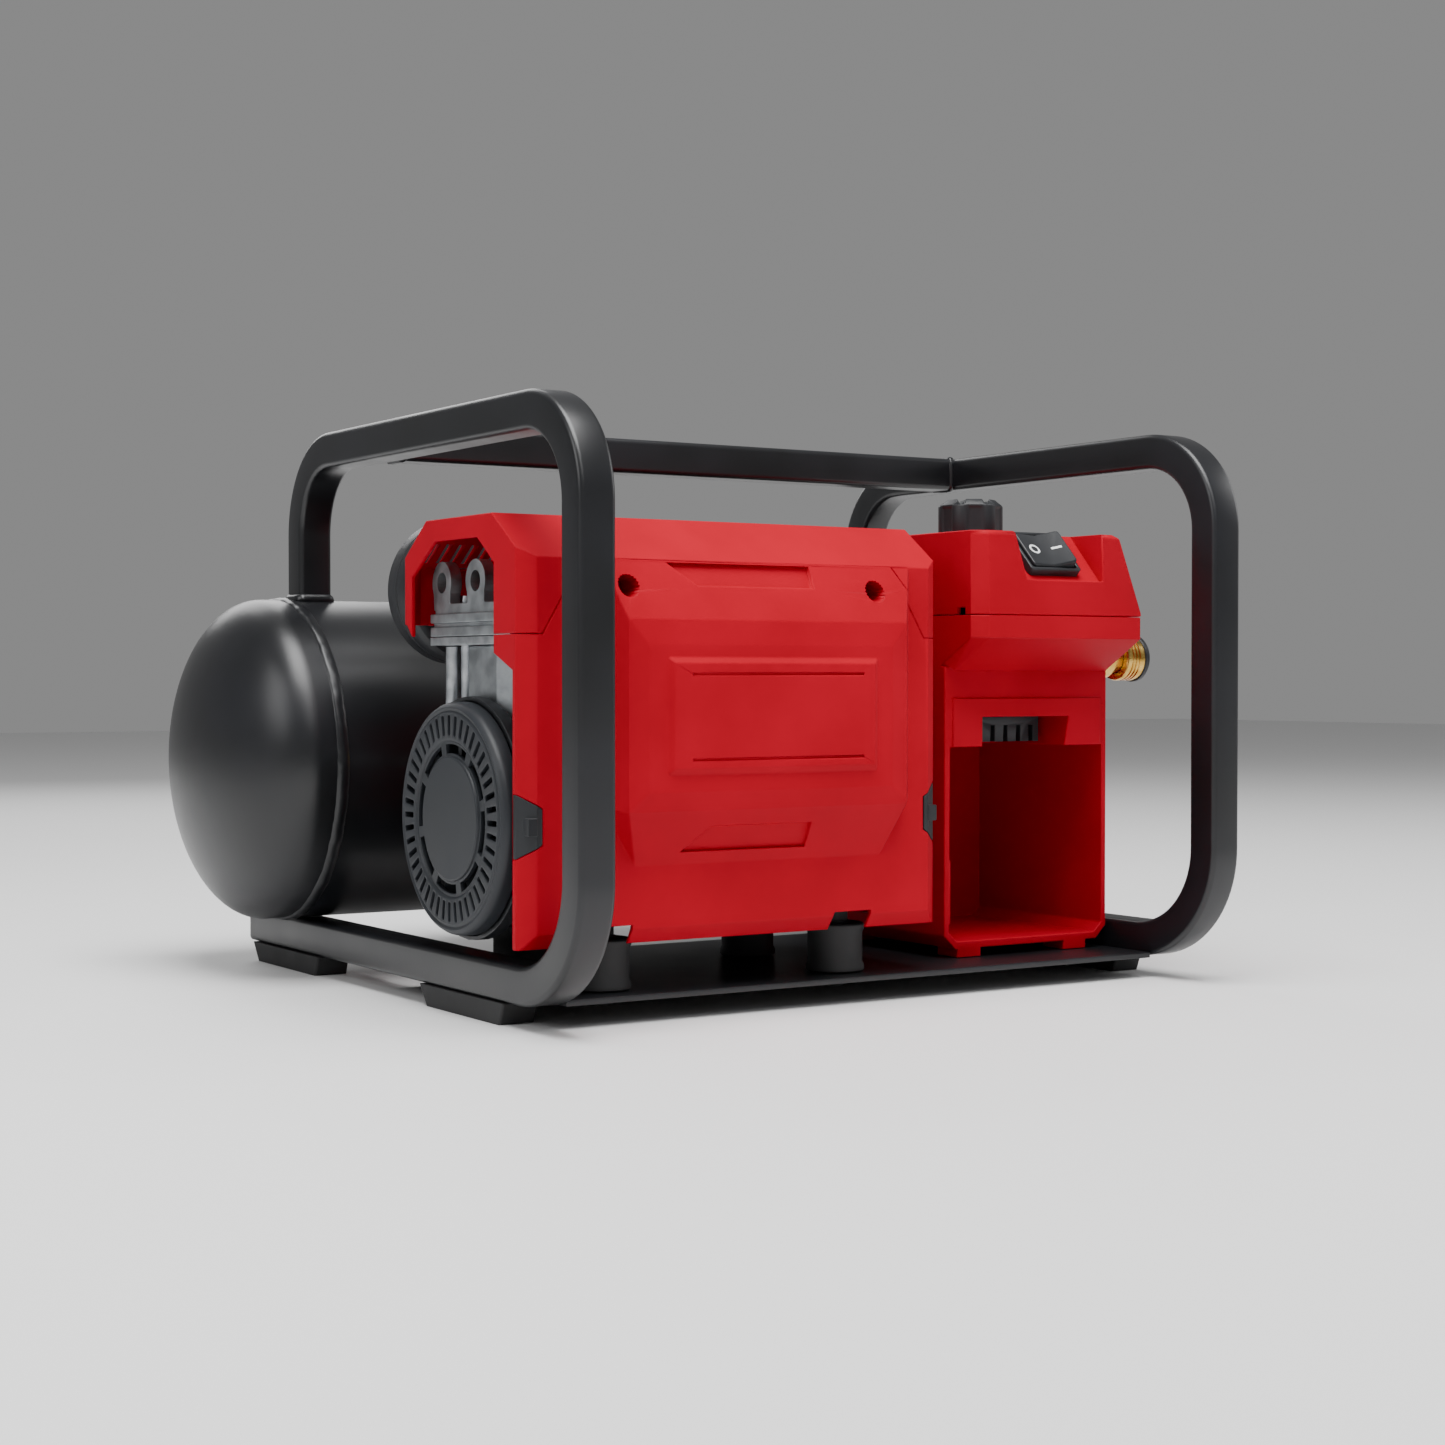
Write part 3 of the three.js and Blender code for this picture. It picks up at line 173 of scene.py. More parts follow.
def smooth(piece, angle=32):
    pick(piece)
    bpy.ops.object.shade_smooth_by_angle(angle=math.radians(angle))


# every finished piece gets its material and its body, and the CAD nodes it stands for are hidden
def adopt(piece, finish, nodes=(), body=None):
    piece.data.materials.clear()
    piece.data.materials.append(finish)
    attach(piece, body or bodyOf[nodes[0]])
    if nodes:
        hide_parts(*nodes)
    return piece


# rounds only the long edges that turn by more than the limit, so small holes keep their rims
def softenLong(piece, width, steps, limit, shortest):
    selectEdges(piece, [turn > math.radians(limit) and edgeLength(piece.data, i) > shortest
                        for i, turn in enumerate(edgeTurns(piece))])
    bpy.ops.transform.edge_bevelweight(value=1)
    stopEditing()
    modify(piece, "BEVEL", width=width, segments=steps, limit_method="WEIGHT", use_clamp_overlap=False,
           miter_outer="MITER_ARC")
    smooth(piece, 35)
    modify(piece, "WEIGHTED_NORMAL", keep_sharp=True, mode="FACE_AREA")


# a merged copy of a CAD node with its flat faces joined up and its edges rounded
def softCopy(node, finish, width, steps=2, limit=28, shortest=0):
    piece = bpy.data.objects.new(node + "_skin", frame["nodes"][node].data.copy())
    bpy.context.collection.objects.link(piece)
    startEditing(piece, "VERT")
    bpy.ops.mesh.remove_doubles(threshold=weldWithin)
    bpy.ops.mesh.dissolve_limited(angle_limit=flatAngle)
    bpy.ops.mesh.select_all(action="SELECT")
    bpy.ops.mesh.quads_convert_to_tris(quad_method="BEAUTY", ngon_method="BEAUTY")
    stopEditing()
    if shortest:
        softenLong(piece, width, steps, limit, shortest)
    else:
        soften(piece, width, steps, limit)
    return adopt(piece, finish, [node])


# a profile of (radius, distance along the axis) drawn point by point, then spun round
def lathe(name, profile, axis, centre, steps=64):
    spindle = axisVector[axis]
    outward = spindle.orthogonal().normalized()
    centre = Vector(centre)
    places = [centre + outward * radius + spindle * distance for radius, distance in profile]
    clearSelection()
    bpy.ops.mesh.primitive_plane_add(size=0.001, location=(0, 0, 0))
    piece = bpy.context.object
    piece.name = name
    startEditing(piece, "VERT")
    bpy.ops.mesh.merge(type="CENTER")
    bpy.ops.transform.translate(value=places[0])
    for here, there in zip(places, places[1:]):
        bpy.ops.mesh.extrude_region_move(TRANSFORM_OT_translate={"value": there - here})
    bpy.ops.mesh.select_all(action="SELECT")
    bpy.ops.mesh.spin(steps=steps, angle=2 * math.pi, center=centre, axis=spindle)
    bpy.ops.mesh.select_all(action="SELECT")
    bpy.ops.mesh.remove_doubles(threshold=2 * weldWithin)
    bpy.ops.mesh.normals_make_consistent(inside=False)
    stopEditing()
    smooth(piece)
    return piece


def boxPiece(name, low, high):
    low, high = Vector(low), Vector(high)
    clearSelection()
    bpy.ops.mesh.primitive_cube_add(size=1, location=(low + high) / 2)
    piece = bpy.context.object
    piece.name = name
    piece.scale = high - low
    settle(piece)
    return piece


# a round tube along a smooth route, closed at both ends
def tubePiece(name, route, radius):
    curve = bpy.data.curves.new(name, "CURVE")
    curve.dimensions = "3D"
    curve.bevel_depth = radius
    curve.bevel_resolution = 5
    curve.resolution_u = 8
    curve.use_fill_caps = True
    spline = curve.splines.new("NURBS")
    spline.points.add(len(route) - 1)
    for point, place in zip(spline.points, route):
        point.co = (*place, 1)
    spline.order_u = 4
    spline.use_endpoint_u = True
    piece = bpy.data.objects.new(name, curve)
    bpy.context.collection.objects.link(piece)
    pick(piece)
    bpy.ops.object.convert(target="MESH")
    smooth(piece, 50)
    return piece


def twinOf(piece, name):
    twin = bpy.data.objects.new(name, piece.data.copy())
    bpy.context.collection.objects.link(twin)
    return twin


# moves a piece that was modelled flat at the origin on to a face: right, up and outward directions
def placeOn(piece, right, up, outward, centre):
    turn = Matrix((right, up, outward)).transposed().to_4x4()
    piece.matrix_world = Matrix.Translation(centre) @ turn @ piece.matrix_world
    settle(piece)
    return piece


def joined(pieces, name):
    clearSelection()
    for piece in pieces:
        piece.select_set(True)
    bpy.context.view_layer.objects.active = pieces[0]
    bpy.ops.object.join()
    pieces[0].name = name
    return pieces[0]


def linear(hexColour):
    parts = [int(hexColour[i:i + 2], 16) / 255 for i in (1, 3, 5)]
    return (*[p / 12.92 if p <= 0.04045 else ((p + 0.055) / 1.055) ** 2.4 for p in parts], 1)


def addNode(tree, kind, settings=None, links=None):
    node = tree.nodes.new(kind)
    for key, value in (settings or {}).items():
        if key in node.inputs:
            node.inputs[key].default_value = value
        else:
            setattr(node, key, value)
    for key, source in (links or {}).items():
        tree.links.new(source, node.inputs[key])
    return node


# The base of each finish: its two close shades drift over patchMm, its roughness over the same
# patches, and a fine relief of grainMm across and reliefMm deep breaks the highlights.
def finishOf(name, shades, metallic, roughness, patchMm, grainMm, reliefMm, **sockets):
    made = bpy.data.materials.new(name)
    made.use_nodes = True
    tree = made.node_tree
    shader = tree.nodes["Principled BSDF"]
    shader.inputs["Metallic"].default_value = metallic
    for key, value in sockets.items():
        shader.inputs[key.replace("_", " ")].default_value = value
    place = addNode(tree, "ShaderNodeTexCoord").outputs["Object"]
    patches = addNode(tree, "ShaderNodeTexNoise", {"Scale": 1000 / patchMm, "Detail": 3.0},
                      {"Vector": place})
    ramp = addNode(tree, "ShaderNodeValToRGB", None, {"Fac": patches.outputs["Fac"]})
    ramp.color_ramp.elements[0].position = 0.35
    ramp.color_ramp.elements[1].position = 0.65
    ramp.color_ramp.elements[0].color = linear(shades[0])
    ramp.color_ramp.elements[1].color = linear(shades[1])
    tree.links.new(ramp.outputs["Color"], shader.inputs["Base Color"])
    gloss = addNode(tree, "ShaderNodeMapRange",
                    {"From Min": 0.3, "From Max": 0.7, "To Min": roughness[0], "To Max": roughness[1]},
                    {"Value": patches.outputs["Fac"]})
    tree.links.new(gloss.outputs["Result"], shader.inputs["Roughness"])
    grain = addNode(tree, "ShaderNodeTexNoise", {"Scale": 1000 / grainMm, "Detail": 2.0},
                    {"Vector": place})
    relief = addNode(tree, "ShaderNodeBump", {"Strength": 1.0, "Distance": reliefMm / 1000},
                     {"Height": grain.outputs["Fac"]})
    tree.links.new(relief.outputs["Normal"], shader.inputs["Normal"])
    return made


# powder coat, baked on steel: near black, satin, with the faint orange peel of the melted powder
powderCoat = finishOf("satinBlackPowderCoat", ("#101113", "#15161A"), 0.0, (0.30, 0.38), 60, 2.2, 0.012,
                      IOR=1.5)
# ABS, injection moulded: strong red with a fine spark-eroded grain that spreads its highlights
redAbs = finishOf("mouldedRedAbs", ("#A3001B", "#AC001E"), 0.0, (0.5, 0.58), 45, 0.7, 0.008, IOR=1.53,
                  Specular_IOR_Level=0.07)
# glass-filled nylon, moulded: charcoal, dull, with a coarser grain
greyNylon = finishOf("mouldedCharcoalNylon", ("#1F2226", "#25282D"), 0.0, (0.42, 0.52), 30, 0.8, 0.014,
                     IOR=1.53, Specular_IOR_Level=0.35)
blackNylon = finishOf("mouldedBlackNylon", ("#1B1C1F", "#222427"), 0.0, (0.42, 0.52), 25, 0.8, 0.014,
                      IOR=1.53, Specular_IOR_Level=0.35)
# vulcanised rubber: dull black with a slight bloom in patches
blackRubber = finishOf("mouldedRubber", ("#19191A", "#242425"), 0.0, (0.62, 0.78), 14, 0.9, 0.02,
                       IOR=1.52)
# aluminium, die cast: grey, with the soft pits of the die's face
castAluminium = finishOf("dieCastAluminium", ("#8F9396", "#A6AAAD"), 1.0, (0.36, 0.5), 9, 1.3, 0.02)
# steel, zinc plated: pale and bright with cloudy patches
zincSteel = finishOf("zincPlatedSteel", ("#A9ADB1", "#C4C7CA"), 1.0, (0.32, 0.4), 6, 0.8, 0.001)
# steel laminations and turned shafts, oiled
plainSteel = finishOf("oiledSteel", ("#7E8285", "#979B9E"), 1.0, (0.28, 0.4), 8, 0.4, 0.004)
# brass, turned on a lathe: warm yellow and bright
turnedBrass = finishOf("turnedBrass", ("#BF9444", "#D9B566"), 1.0, (0.2, 0.3), 5, 0.6, 0.006)
# enamelled copper wire of the motor's windings
copperWire = finishOf("enamelledCopper", ("#93512B", "#B0683A"), 1.0, (0.3, 0.42), 4, 0.9, 0.05)
# printed card of a gauge's dial
dialCard = finishOf("printedDialCard", ("#E9E9E4", "#F2F2EE"), 0.0, (0.5, 0.6), 8, 0.6, 0.003, IOR=1.5)
# paint: white marks printed on the rocker, red on the needles and on the last ticks of a dial
markPaint = finishOf("padPrintedWhite", ("#E4E6E6", "#EFF0F0"), 0.0, (0.4, 0.5), 3, 0.5, 0.003, IOR=1.5)
needleRed = finishOf("needleRedPaint", ("#B5161C", "#C41A20"), 0.0, (0.35, 0.45), 3, 0.5, 0.003, IOR=1.5)
# acrylic lens over a dial: clear, with a slight moulded waviness
lensAcrylic = finishOf("clearAcrylic", ("#F7F9F9", "#FFFFFF"), 0.0, (0.02, 0.05), 12, 6.0, 0.01,
                       IOR=1.49, Transmission_Weight=1.0)
finishOfSlot = {
    "black_paint": powderCoat, "black_plastic": blackNylon, "grey_plastic": greyNylon,
    "rubber": blackRubber, "red_plastic": redAbs, "cast_aluminium": castAluminium,
    "steel": zincSteel, "brass": turnedBrass, "copper": copperWire,
}
print("materials made")


cameraDetails = {"place": (-0.7119, -1.12805, 0.1638), "pitch": 1.07, "yaw": 32.52, "lens": 59.107}


def makeCamera():
    lens = bpy.data.cameras.new("camera")
    lens.lens = cameraDetails["lens"]
    lens.sensor_width = 36
    camera = bpy.data.objects.new("camera", lens)
    camera.location = cameraDetails["place"]
    camera.rotation_euler = (math.radians(90 - cameraDetails["pitch"]), 0,
                             -math.radians(cameraDetails["yaw"]))
    bpy.context.collection.objects.link(camera)
    bpy.context.scene.camera = camera


stageDetails = {"floorWide": 12, "shade": "#E8E8E8", "roughness": 0.7, "light": 0.26}


def makeStage():
    clearSelection()
    bpy.ops.mesh.primitive_plane_add(size=stageDetails["floorWide"], location=(0, 0, 0))
    floor = bpy.context.object
    floor.name = "floor"
    paper = bpy.data.materials.new("paleFloor")
    paper.use_nodes = True
    shader = paper.node_tree.nodes["Principled BSDF"]
    shader.inputs["Base Color"].default_value = linear(stageDetails["shade"])
    shader.inputs["Roughness"].default_value = stageDetails["roughness"]
    floor.data.materials.append(paper)
    world = bpy.data.worlds.new("studio")
    world.use_nodes = True
    sky = world.node_tree.nodes["Background"]
    sky.inputs["Color"].default_value = (1, 1, 1, 1)
    sky.inputs["Strength"].default_value = stageDetails["light"]
    bpy.context.scene.world = world


# soft boxes: name, place, what they face, size and power in watts
softBoxes = [
    ("topBox", (-0.2, -0.5, 1.8), (0, 0, 0.1), 1.2, 60),
    ("leftBox", (-1.9, -0.3, 1.2), (-0.2, 0, 0.15), 1.0, 13),
    ("frontBox", (-0.3, -2.0, 1.9), (0, 0, 0.15), 1.1, 12),
    ("rightBox", (1.9, -0.5, 1.0), (0.2, 0, 0.15), 0.9, 10),
    ("backBox", (0.2, 1.9, 1.3), (0, 0, 0.15), 1.2, 16),
]


def makeLights():
    for name, place, target, size, power in softBoxes:
        lamp = bpy.data.lights.new(name, "AREA")
        lamp.size = size
        lamp.energy = power
        box = bpy.data.objects.new(name, lamp)
        box.location = place
        box.rotation_euler = (Vector(target) - Vector(place)).to_track_quat("-Z", "Y").to_euler()
        bpy.context.collection.objects.link(box)


makeCamera()
makeStage()
makeLights()
print("camera, floor and lights placed")


# the square frame tube; "rearReach" is from the handle's front face to the back of the rear legs
tube = {"side": 0.019, "corner": 0.0028, "cornerSteps": 5, "topBend": 0.054, "lowBend": 0.062,
        "bendSteps": 24, "wall": 0.0016, "openDepth": 0.03, "rearReach": 0.114, "sunk": 0.001}
hoopBack = boxOf("handle_bar")[0].y + tube["rearReach"]


# the tube's section, pushed forward, bent up, back and down again on to the tank
def makeHoop(side):
    low, high = boxOf(side + "_hoop")
    half = tube["side"] / 2
    x = low.x + half
    clearSelection()
    bpy.ops.mesh.primitive_plane_add(size=tube["side"], location=(x, high.y, low.z + half),
                                     rotation=(quarterTurn, 0, 0))
    hoop = bpy.context.object
    hoop.name = side + "_hoop_tube"
    settle(hoop)
    startEditing(hoop)
    bpy.ops.mesh.bevel(offset=tube["corner"], segments=tube["cornerSteps"], affect="VERTICES")
    bpy.ops.mesh.select_all(action="SELECT")
    lowBend, topBend = tube["lowBend"], tube["topBend"]
    legEnd = boxOf("tank_barrel")[1].z - tube["sunk"]
    moves = [
        ("push", (0, low.y + lowBend - high.y, 0)),
        ("bend", (x, low.y + lowBend, low.z + lowBend)),
        ("push", (0, 0, high.z - topBend - low.z - lowBend)),
        ("bend", (x, low.y + topBend, high.z - topBend)),
        ("push", (0, hoopBack - topBend - low.y - topBend, 0)),
        ("bend", (x, hoopBack - topBend, high.z - topBend)),
        ("push", (0, 0, legEnd - high.z + topBend)),
    ]
    for kind, where in moves:
        if kind == "push":
            bpy.ops.mesh.extrude_region_move(TRANSFORM_OT_translate={"value": where})
        else:
            bpy.ops.mesh.spin(steps=tube["bendSteps"], angle=quarterTurn, center=where, axis=(1, 0, 0))
    bpy.ops.mesh.select_all(action="SELECT")
    bpy.ops.mesh.remove_doubles(threshold=weldWithin)
    bpy.ops.mesh.normals_make_consistent(inside=False)
    # the open rear end of the bottom run
    selectWhere(hoop, "faces", lambda centre, normal: normal.y > along and centre.y > high.y - 0.001)
    bpy.ops.mesh.inset(thickness=tube["wall"])
    bpy.ops.mesh.extrude_region_move(TRANSFORM_OT_translate={"value": (0, -tube["openDepth"], 0)})
    stopEditing()
    smooth(hoop)
    return adopt(hoop, powderCoat, [side + "_hoop"])


def makeHandle():
    low, high = boxOf("handle_bar")
    lap = Vector((0.0003, 0, 0))
    bar = boxPiece("handle_bar_tube", low - lap, high + lap)
    roundAlong(bar, "x", tube["corner"], tube["cornerSteps"])
    smooth(bar)
    return adopt(bar, powderCoat, ["handle_bar"])


# a rough bead of weld round a square tube: a rounded slab, cut fine and roughened
def makeBead(name, centre, axis, reach=0.0011, thickness=0.0042, seed=1):
    half = Vector((1, 1, 1)) * (tube["side"] / 2 + reach)
    half["xyz".index(axis)] = thickness / 2
    bead = boxPiece(name, Vector(centre) - half, Vector(centre) + half)
    roundAlong(bead, axis, tube["corner"] + reach, 4)
    modify(bead, "BEVEL", width=thickness * 0.45, segments=4, limit_method="ANGLE",
           angle_limit=math.radians(50), use_clamp_overlap=True)
    modify(bead, "SUBSURF", levels=1, render_levels=1)
    ripple = bpy.data.textures.new(name + "_ripple", "CLOUDS")
    ripple.noise_scale = 0.0035 + 0.0002 * seed
    modify(bead, "DISPLACE", texture=ripple, strength=0.0012, mid_level=0.5, texture_coords="LOCAL")
    smooth(bead, 60)
    return adopt(bead, powderCoat, body="body")


def makeFrame():
    makeHoop("left")
    makeHoop("right")
    makeHandle()
    low, high = boxOf("handle_bar")
    middle = (low + high) / 2
    tankTop = boxOf("tank_barrel")[1].z
    for seed, side in enumerate(("left", "right")):
        inner = low.x if side == "left" else high.x
        makeBead("handle_weld_" + side, (inner, middle.y, middle.z), "x", seed=seed)
        hoopLow, hoopHigh = boxOf(side + "_hoop")
        legMiddle = (hoopLow.x + hoopHigh.x) / 2
        legY = hoopBack - tube["side"] / 2
        makeBead("leg_weld_" + side, (legMiddle, legY, tankTop + 0.0004), "z", 0.002, 0.006, seed + 3)
    softCopy("base_plate", powderCoat, 0.0005)


# radii of a rubber mount's parts, and the height of its rubber
isolatorDetails = {"rubber": 0.015, "waist": 0.0141, "stud": 0.0034, "nut": 0.0065, "tall": 0.0247}


def makeIsolator(node):
    low, high = boxOf(node)
    middle = middleOf(node)
    base = boxOf("base_plate")[1].z + 0.0003
    top = base + isolatorDetails["tall"]
    r, w, n, s = (isolatorDetails[key] for key in ("rubber", "waist", "nut", "stud"))
    lowNut = [(0, low.z), (0.005, low.z), (0.006, low.z + 0.001), (0.006, base - 0.0036),
              (s, base - 0.0034), (s, base)]
    rubber = [(r - 0.001, base), (r, base + 0.0008), (r, base + 0.003), (w, base + 0.005),
              (w, top - 0.005), (r, top - 0.003), (r, top - 0.0008), (r - 0.001, top)]
    topNut = [(n + 0.001, top), (n + 0.001, top + 0.0012), (n, top + 0.0014), (n, top + 0.0068),
              (n - 0.001, top + 0.0073), (s, top + 0.0073)]
    stud = [(s, high.z - 0.0006), (s - 0.0006, high.z), (0, high.z)]
    profile = lowNut + rubber + topNut + stud
    mount = lathe(node + "_mount", profile, "z", (middle.x, middle.y, 0), 40)
    return adopt(mount, blackRubber, [node])


makeFrame()
for footNode in [n for n in frame["nodes"] if n.startswith("foot_")]:
    softCopy(footNode, blackRubber, 0.0012, 3)
for mountNode in [n for n in frame["nodes"] if n.startswith("isolator_")]:
    makeIsolator(mountNode)
print("frame, feet and mounts made")


tank = {"wall": 0.0025, "skirt": 0.0115, "steps": 144, "dishRings": 22}
tankLow, tankHigh = boxOf("tank_barrel")
tankRadius = (tankHigh.z - tankLow.z) / 2
tankAxis = (0, (tankLow.y + tankHigh.y) / 2, (tankLow.z + tankHigh.z) / 2)


def makeBarrel():
    inner = tankRadius - tank["wall"]
    profile = [(inner, tankLow.x), (tankRadius - 0.0006, tankLow.x), (tankRadius, tankLow.x + 0.0006),
               (tankRadius, tankHigh.x - 0.0006), (tankRadius - 0.0006, tankHigh.x), (inner, tankHigh.x),
               (inner, tankLow.x)]
    barrel = lathe("tank_barrel_shell", profile, "x", tankAxis, tank["steps"])
    return adopt(barrel, powderCoat, ["tank_barrel"])


# a dished head: straight skirt, tight knuckle and a shallow crown
def makeHead(side):
    node = "tank_head_" + side
    low, high = boxOf(node)
    way = -1 if side == "left" else 1
    seam, tip = (high.x, low.x) if side == "left" else (low.x, high.x)
    dish = seam + way * tank["skirt"]
    depth = abs(tip - dish)
    quarter = [i / tank["dishRings"] * quarterTurn for i in range(tank["dishRings"] + 1)]
    outside = [(tankRadius * math.sin(t), dish + way * depth * math.cos(t)) for t in quarter]
    wall = tank["wall"]
    inside = [((tankRadius - wall) * math.cos(t), dish + way * (depth - wall) * math.sin(t))
              for t in quarter]
    outside[0], inside[-1] = (0, tip), (0, tip - way * wall)
    profile = outside + [(tankRadius, seam), (tankRadius - wall, seam)] + inside
    head = lathe(node + "_dish", profile, "x", tankAxis, tank["steps"])
    return adopt(head, powderCoat, [node])


seamBead = {"width": 0.0032, "height": 0.0011, "around": 300, "ripple": 0.0006}


# the weld that joins a head to the barrel: a flattened ring with a rippled back
def makeSeam(side, x):
    clearSelection()
    bpy.ops.mesh.primitive_torus_add(location=(x, tankAxis[1], tankAxis[2]),
                                     rotation=(0, quarterTurn, 0),
                                     major_segments=seamBead["around"], minor_segments=12,
                                     major_radius=tankRadius, minor_radius=seamBead["width"])
    bead = bpy.context.object
    bead.name = "tank_seam_" + side
    settle(bead)
    squeeze = seamBead["height"] / seamBead["width"]
    # the round section is flattened towards the tank's skin
    for vertex in bead.data.vertices:
        offset = Vector((0, vertex.co.y - tankAxis[1], vertex.co.z - tankAxis[2]))
        reach = offset.length
        flat = offset.normalized() * (tankRadius + (reach - tankRadius) * squeeze)
        vertex.co.y = tankAxis[1] + flat.y
        vertex.co.z = tankAxis[2] + flat.z
    ripple = bpy.data.textures.new("seamRipple" + side, "CLOUDS")
    ripple.noise_scale = 0.006
    modify(bead, "DISPLACE", texture=ripple, strength=seamBead["ripple"] * 2, mid_level=0.4,
           texture_coords="LOCAL")
    smooth(bead, 60)
    return adopt(bead, powderCoat, body="body")


def makeTankFittings():
    axisY = (middleOf("check_valve").x, 0, tankAxis[2])
    low, high = boxOf("check_valve")
    front = low.y
    hexProfile = [(0, front), (0.0058, front), (0.0068, front + 0.001), (0.0068, front + 0.0095),
                  (0.0086, front + 0.0098), (0.0098, front + 0.0108), (0.0098, front + 0.0185),
                  (0.0088, front + 0.0195), (0.006, front + 0.0197), (0.006, high.y), (0, high.y)]
    adopt(lathe("check_valve_turned", hexProfile, "y", axisY, 6 * 8), turnedBrass, ["check_valve"])
    low, high = boxOf("relief_valve_body")
    base = low.z
    profile = [(0, base), (0.006, base), (0.006, base + 0.0088), (0.0076, base + 0.009),
               (0.008, base + 0.0098), (0.008, base + 0.0162), (0.0076, base + 0.0168),
               (0.0058, base + 0.017),
               (0.0058, base + 0.0205), (0.0052, base + 0.021), (0.0052, base + 0.0218),
               (0.0058, base + 0.0223), (0.0058, high.z - 0.0006), (0.0052, high.z), (0.0024, high.z),
               (0.0024, base + 0.014), (0, base + 0.014)]
    middle = middleOf("relief_valve_body")
    body = lathe("relief_valve_turned", profile, "z", (middle.x, middle.y, 0), 48)
    adopt(body, turnedBrass, ["relief_valve_body"])
    makePullRing()
    low, high = boxOf("drain_valve_body")
    middle = middleOf("drain_valve_body")
    profile = [(0, low.z), (0.0068, low.z), (0.0074, low.z + 0.0006), (0.0074, low.z + 0.0074),
               (0.0068, low.z + 0.008), (0.006, low.z + 0.0082), (0.006, high.z), (0, high.z)]
    adopt(lathe("drain_valve_turned", profile, "z", (middle.x, middle.y, 0), 48), turnedBrass,
          ["drain_valve_body"])
    softCopy("drain_valve_knob", turnedBrass, 0.0005, 2)


# ring of spring steel through the relief valve's stem
def makePullRing():
    low, high = boxOf("relief_valve_ring")
    middle = middleOf("relief_valve_ring")
    ringMiddle = (middle.x, middle.y, high.z - 0.008)
    clearSelection()
    bpy.ops.mesh.primitive_torus_add(location=ringMiddle, rotation=(0, quarterTurn, 0),
                                     major_segments=72, minor_segments=14,
                                     major_radius=0.0068, minor_radius=0.0011)
    ringPiece = bpy.context.object
    settle(ringPiece)
    profile = [(0, low.z), (0.0017, low.z), (0.0019, low.z + 0.0003), (0.0019, ringMiddle[2] - 0.0076),
               (0.0014, ringMiddle[2] - 0.0064), (0, ringMiddle[2] - 0.0062)]
    stem = lathe("stem", profile, "z", (middle.x, middle.y, 0), 24)
    pull = joined([ringPiece, stem], "relief_pull_ring")
    smooth(pull, 60)
    return adopt(pull, zincSteel, ["relief_valve_ring"])


makeBarrel()
for headSide, seamX in (("left", tankLow.x - 0.00015), ("right", tankHigh.x + 0.00015)):
    makeHead(headSide)
    makeSeam(headSide, seamX)
makeTankFittings()
print("tank made")


shellEdge = {"width": 0.0007, "steps": 3, "limit": 7, "shortest": 0.003}

for shell in ("shroud_top", "shroud_front", "shroud_back", "control_base", "control_cover"):
    softCopy(shell, redAbs, shellEdge["width"], shellEdge["steps"], shellEdge["limit"],
             shellEdge["shortest"])
for clip in ("clip_left", "clip_right"):
    softCopy(clip, blackNylon, 0.0005, 2)
print("shells made")


# the front panel's two screws, measured from its lower left corner
screw = {"places": (0.0535, 0.196), "height": 0.169, "depth": 0.0287, "radius": 0.0042, "head": 0.0024,
         "socket": 0.0014, "socketRim": 0.5}


# a screw at the bottom of each pit in the front panel: a flat head with a round socket
def makeScrews():
    low = boxOf("shroud_front")[0]
    heads = []
    for offset in screw["places"]:
        clearSelection()
        seat = Vector((low.x + offset, low.y + screw["depth"], low.z + screw["height"]))
        bpy.ops.mesh.primitive_cylinder_add(vertices=48, radius=screw["radius"], depth=screw["head"],
                                            location=seat - Vector((0, screw["head"] / 2, 0)),
                                            rotation=(quarterTurn, 0, 0))
        head = bpy.context.object
        settle(head)
        startEditing(head)
        selectWhere(head, "faces", lambda centre, normal: normal.y < -along)
        bpy.ops.mesh.inset(thickness=screw["radius"] * screw["socketRim"])
        bpy.ops.mesh.extrude_region_move(TRANSFORM_OT_translate={"value": (0, screw["socket"], 0)})
        stopEditing()
        modify(head, "BEVEL", width=0.0004, segments=2, limit_method="ANGLE",
               angle_limit=math.radians(40))
        smooth(head)
        heads.append(head)
    adopt(joined(heads, "shroud_screws"), zincSteel, body="body")


makeScrews()

# where slots and windows start and end, as shares of the guard's radius; the bar in radians
fan = {"slots": 44, "slotWide": 0.0028, "slotFrom": 0.71, "slotTo": 0.885, "windows": 8,
       "windowFrom": 0.56, "windowTo": 0.64, "bar": 0.16, "cutOut": 0.004, "cutIn": 0.0062}


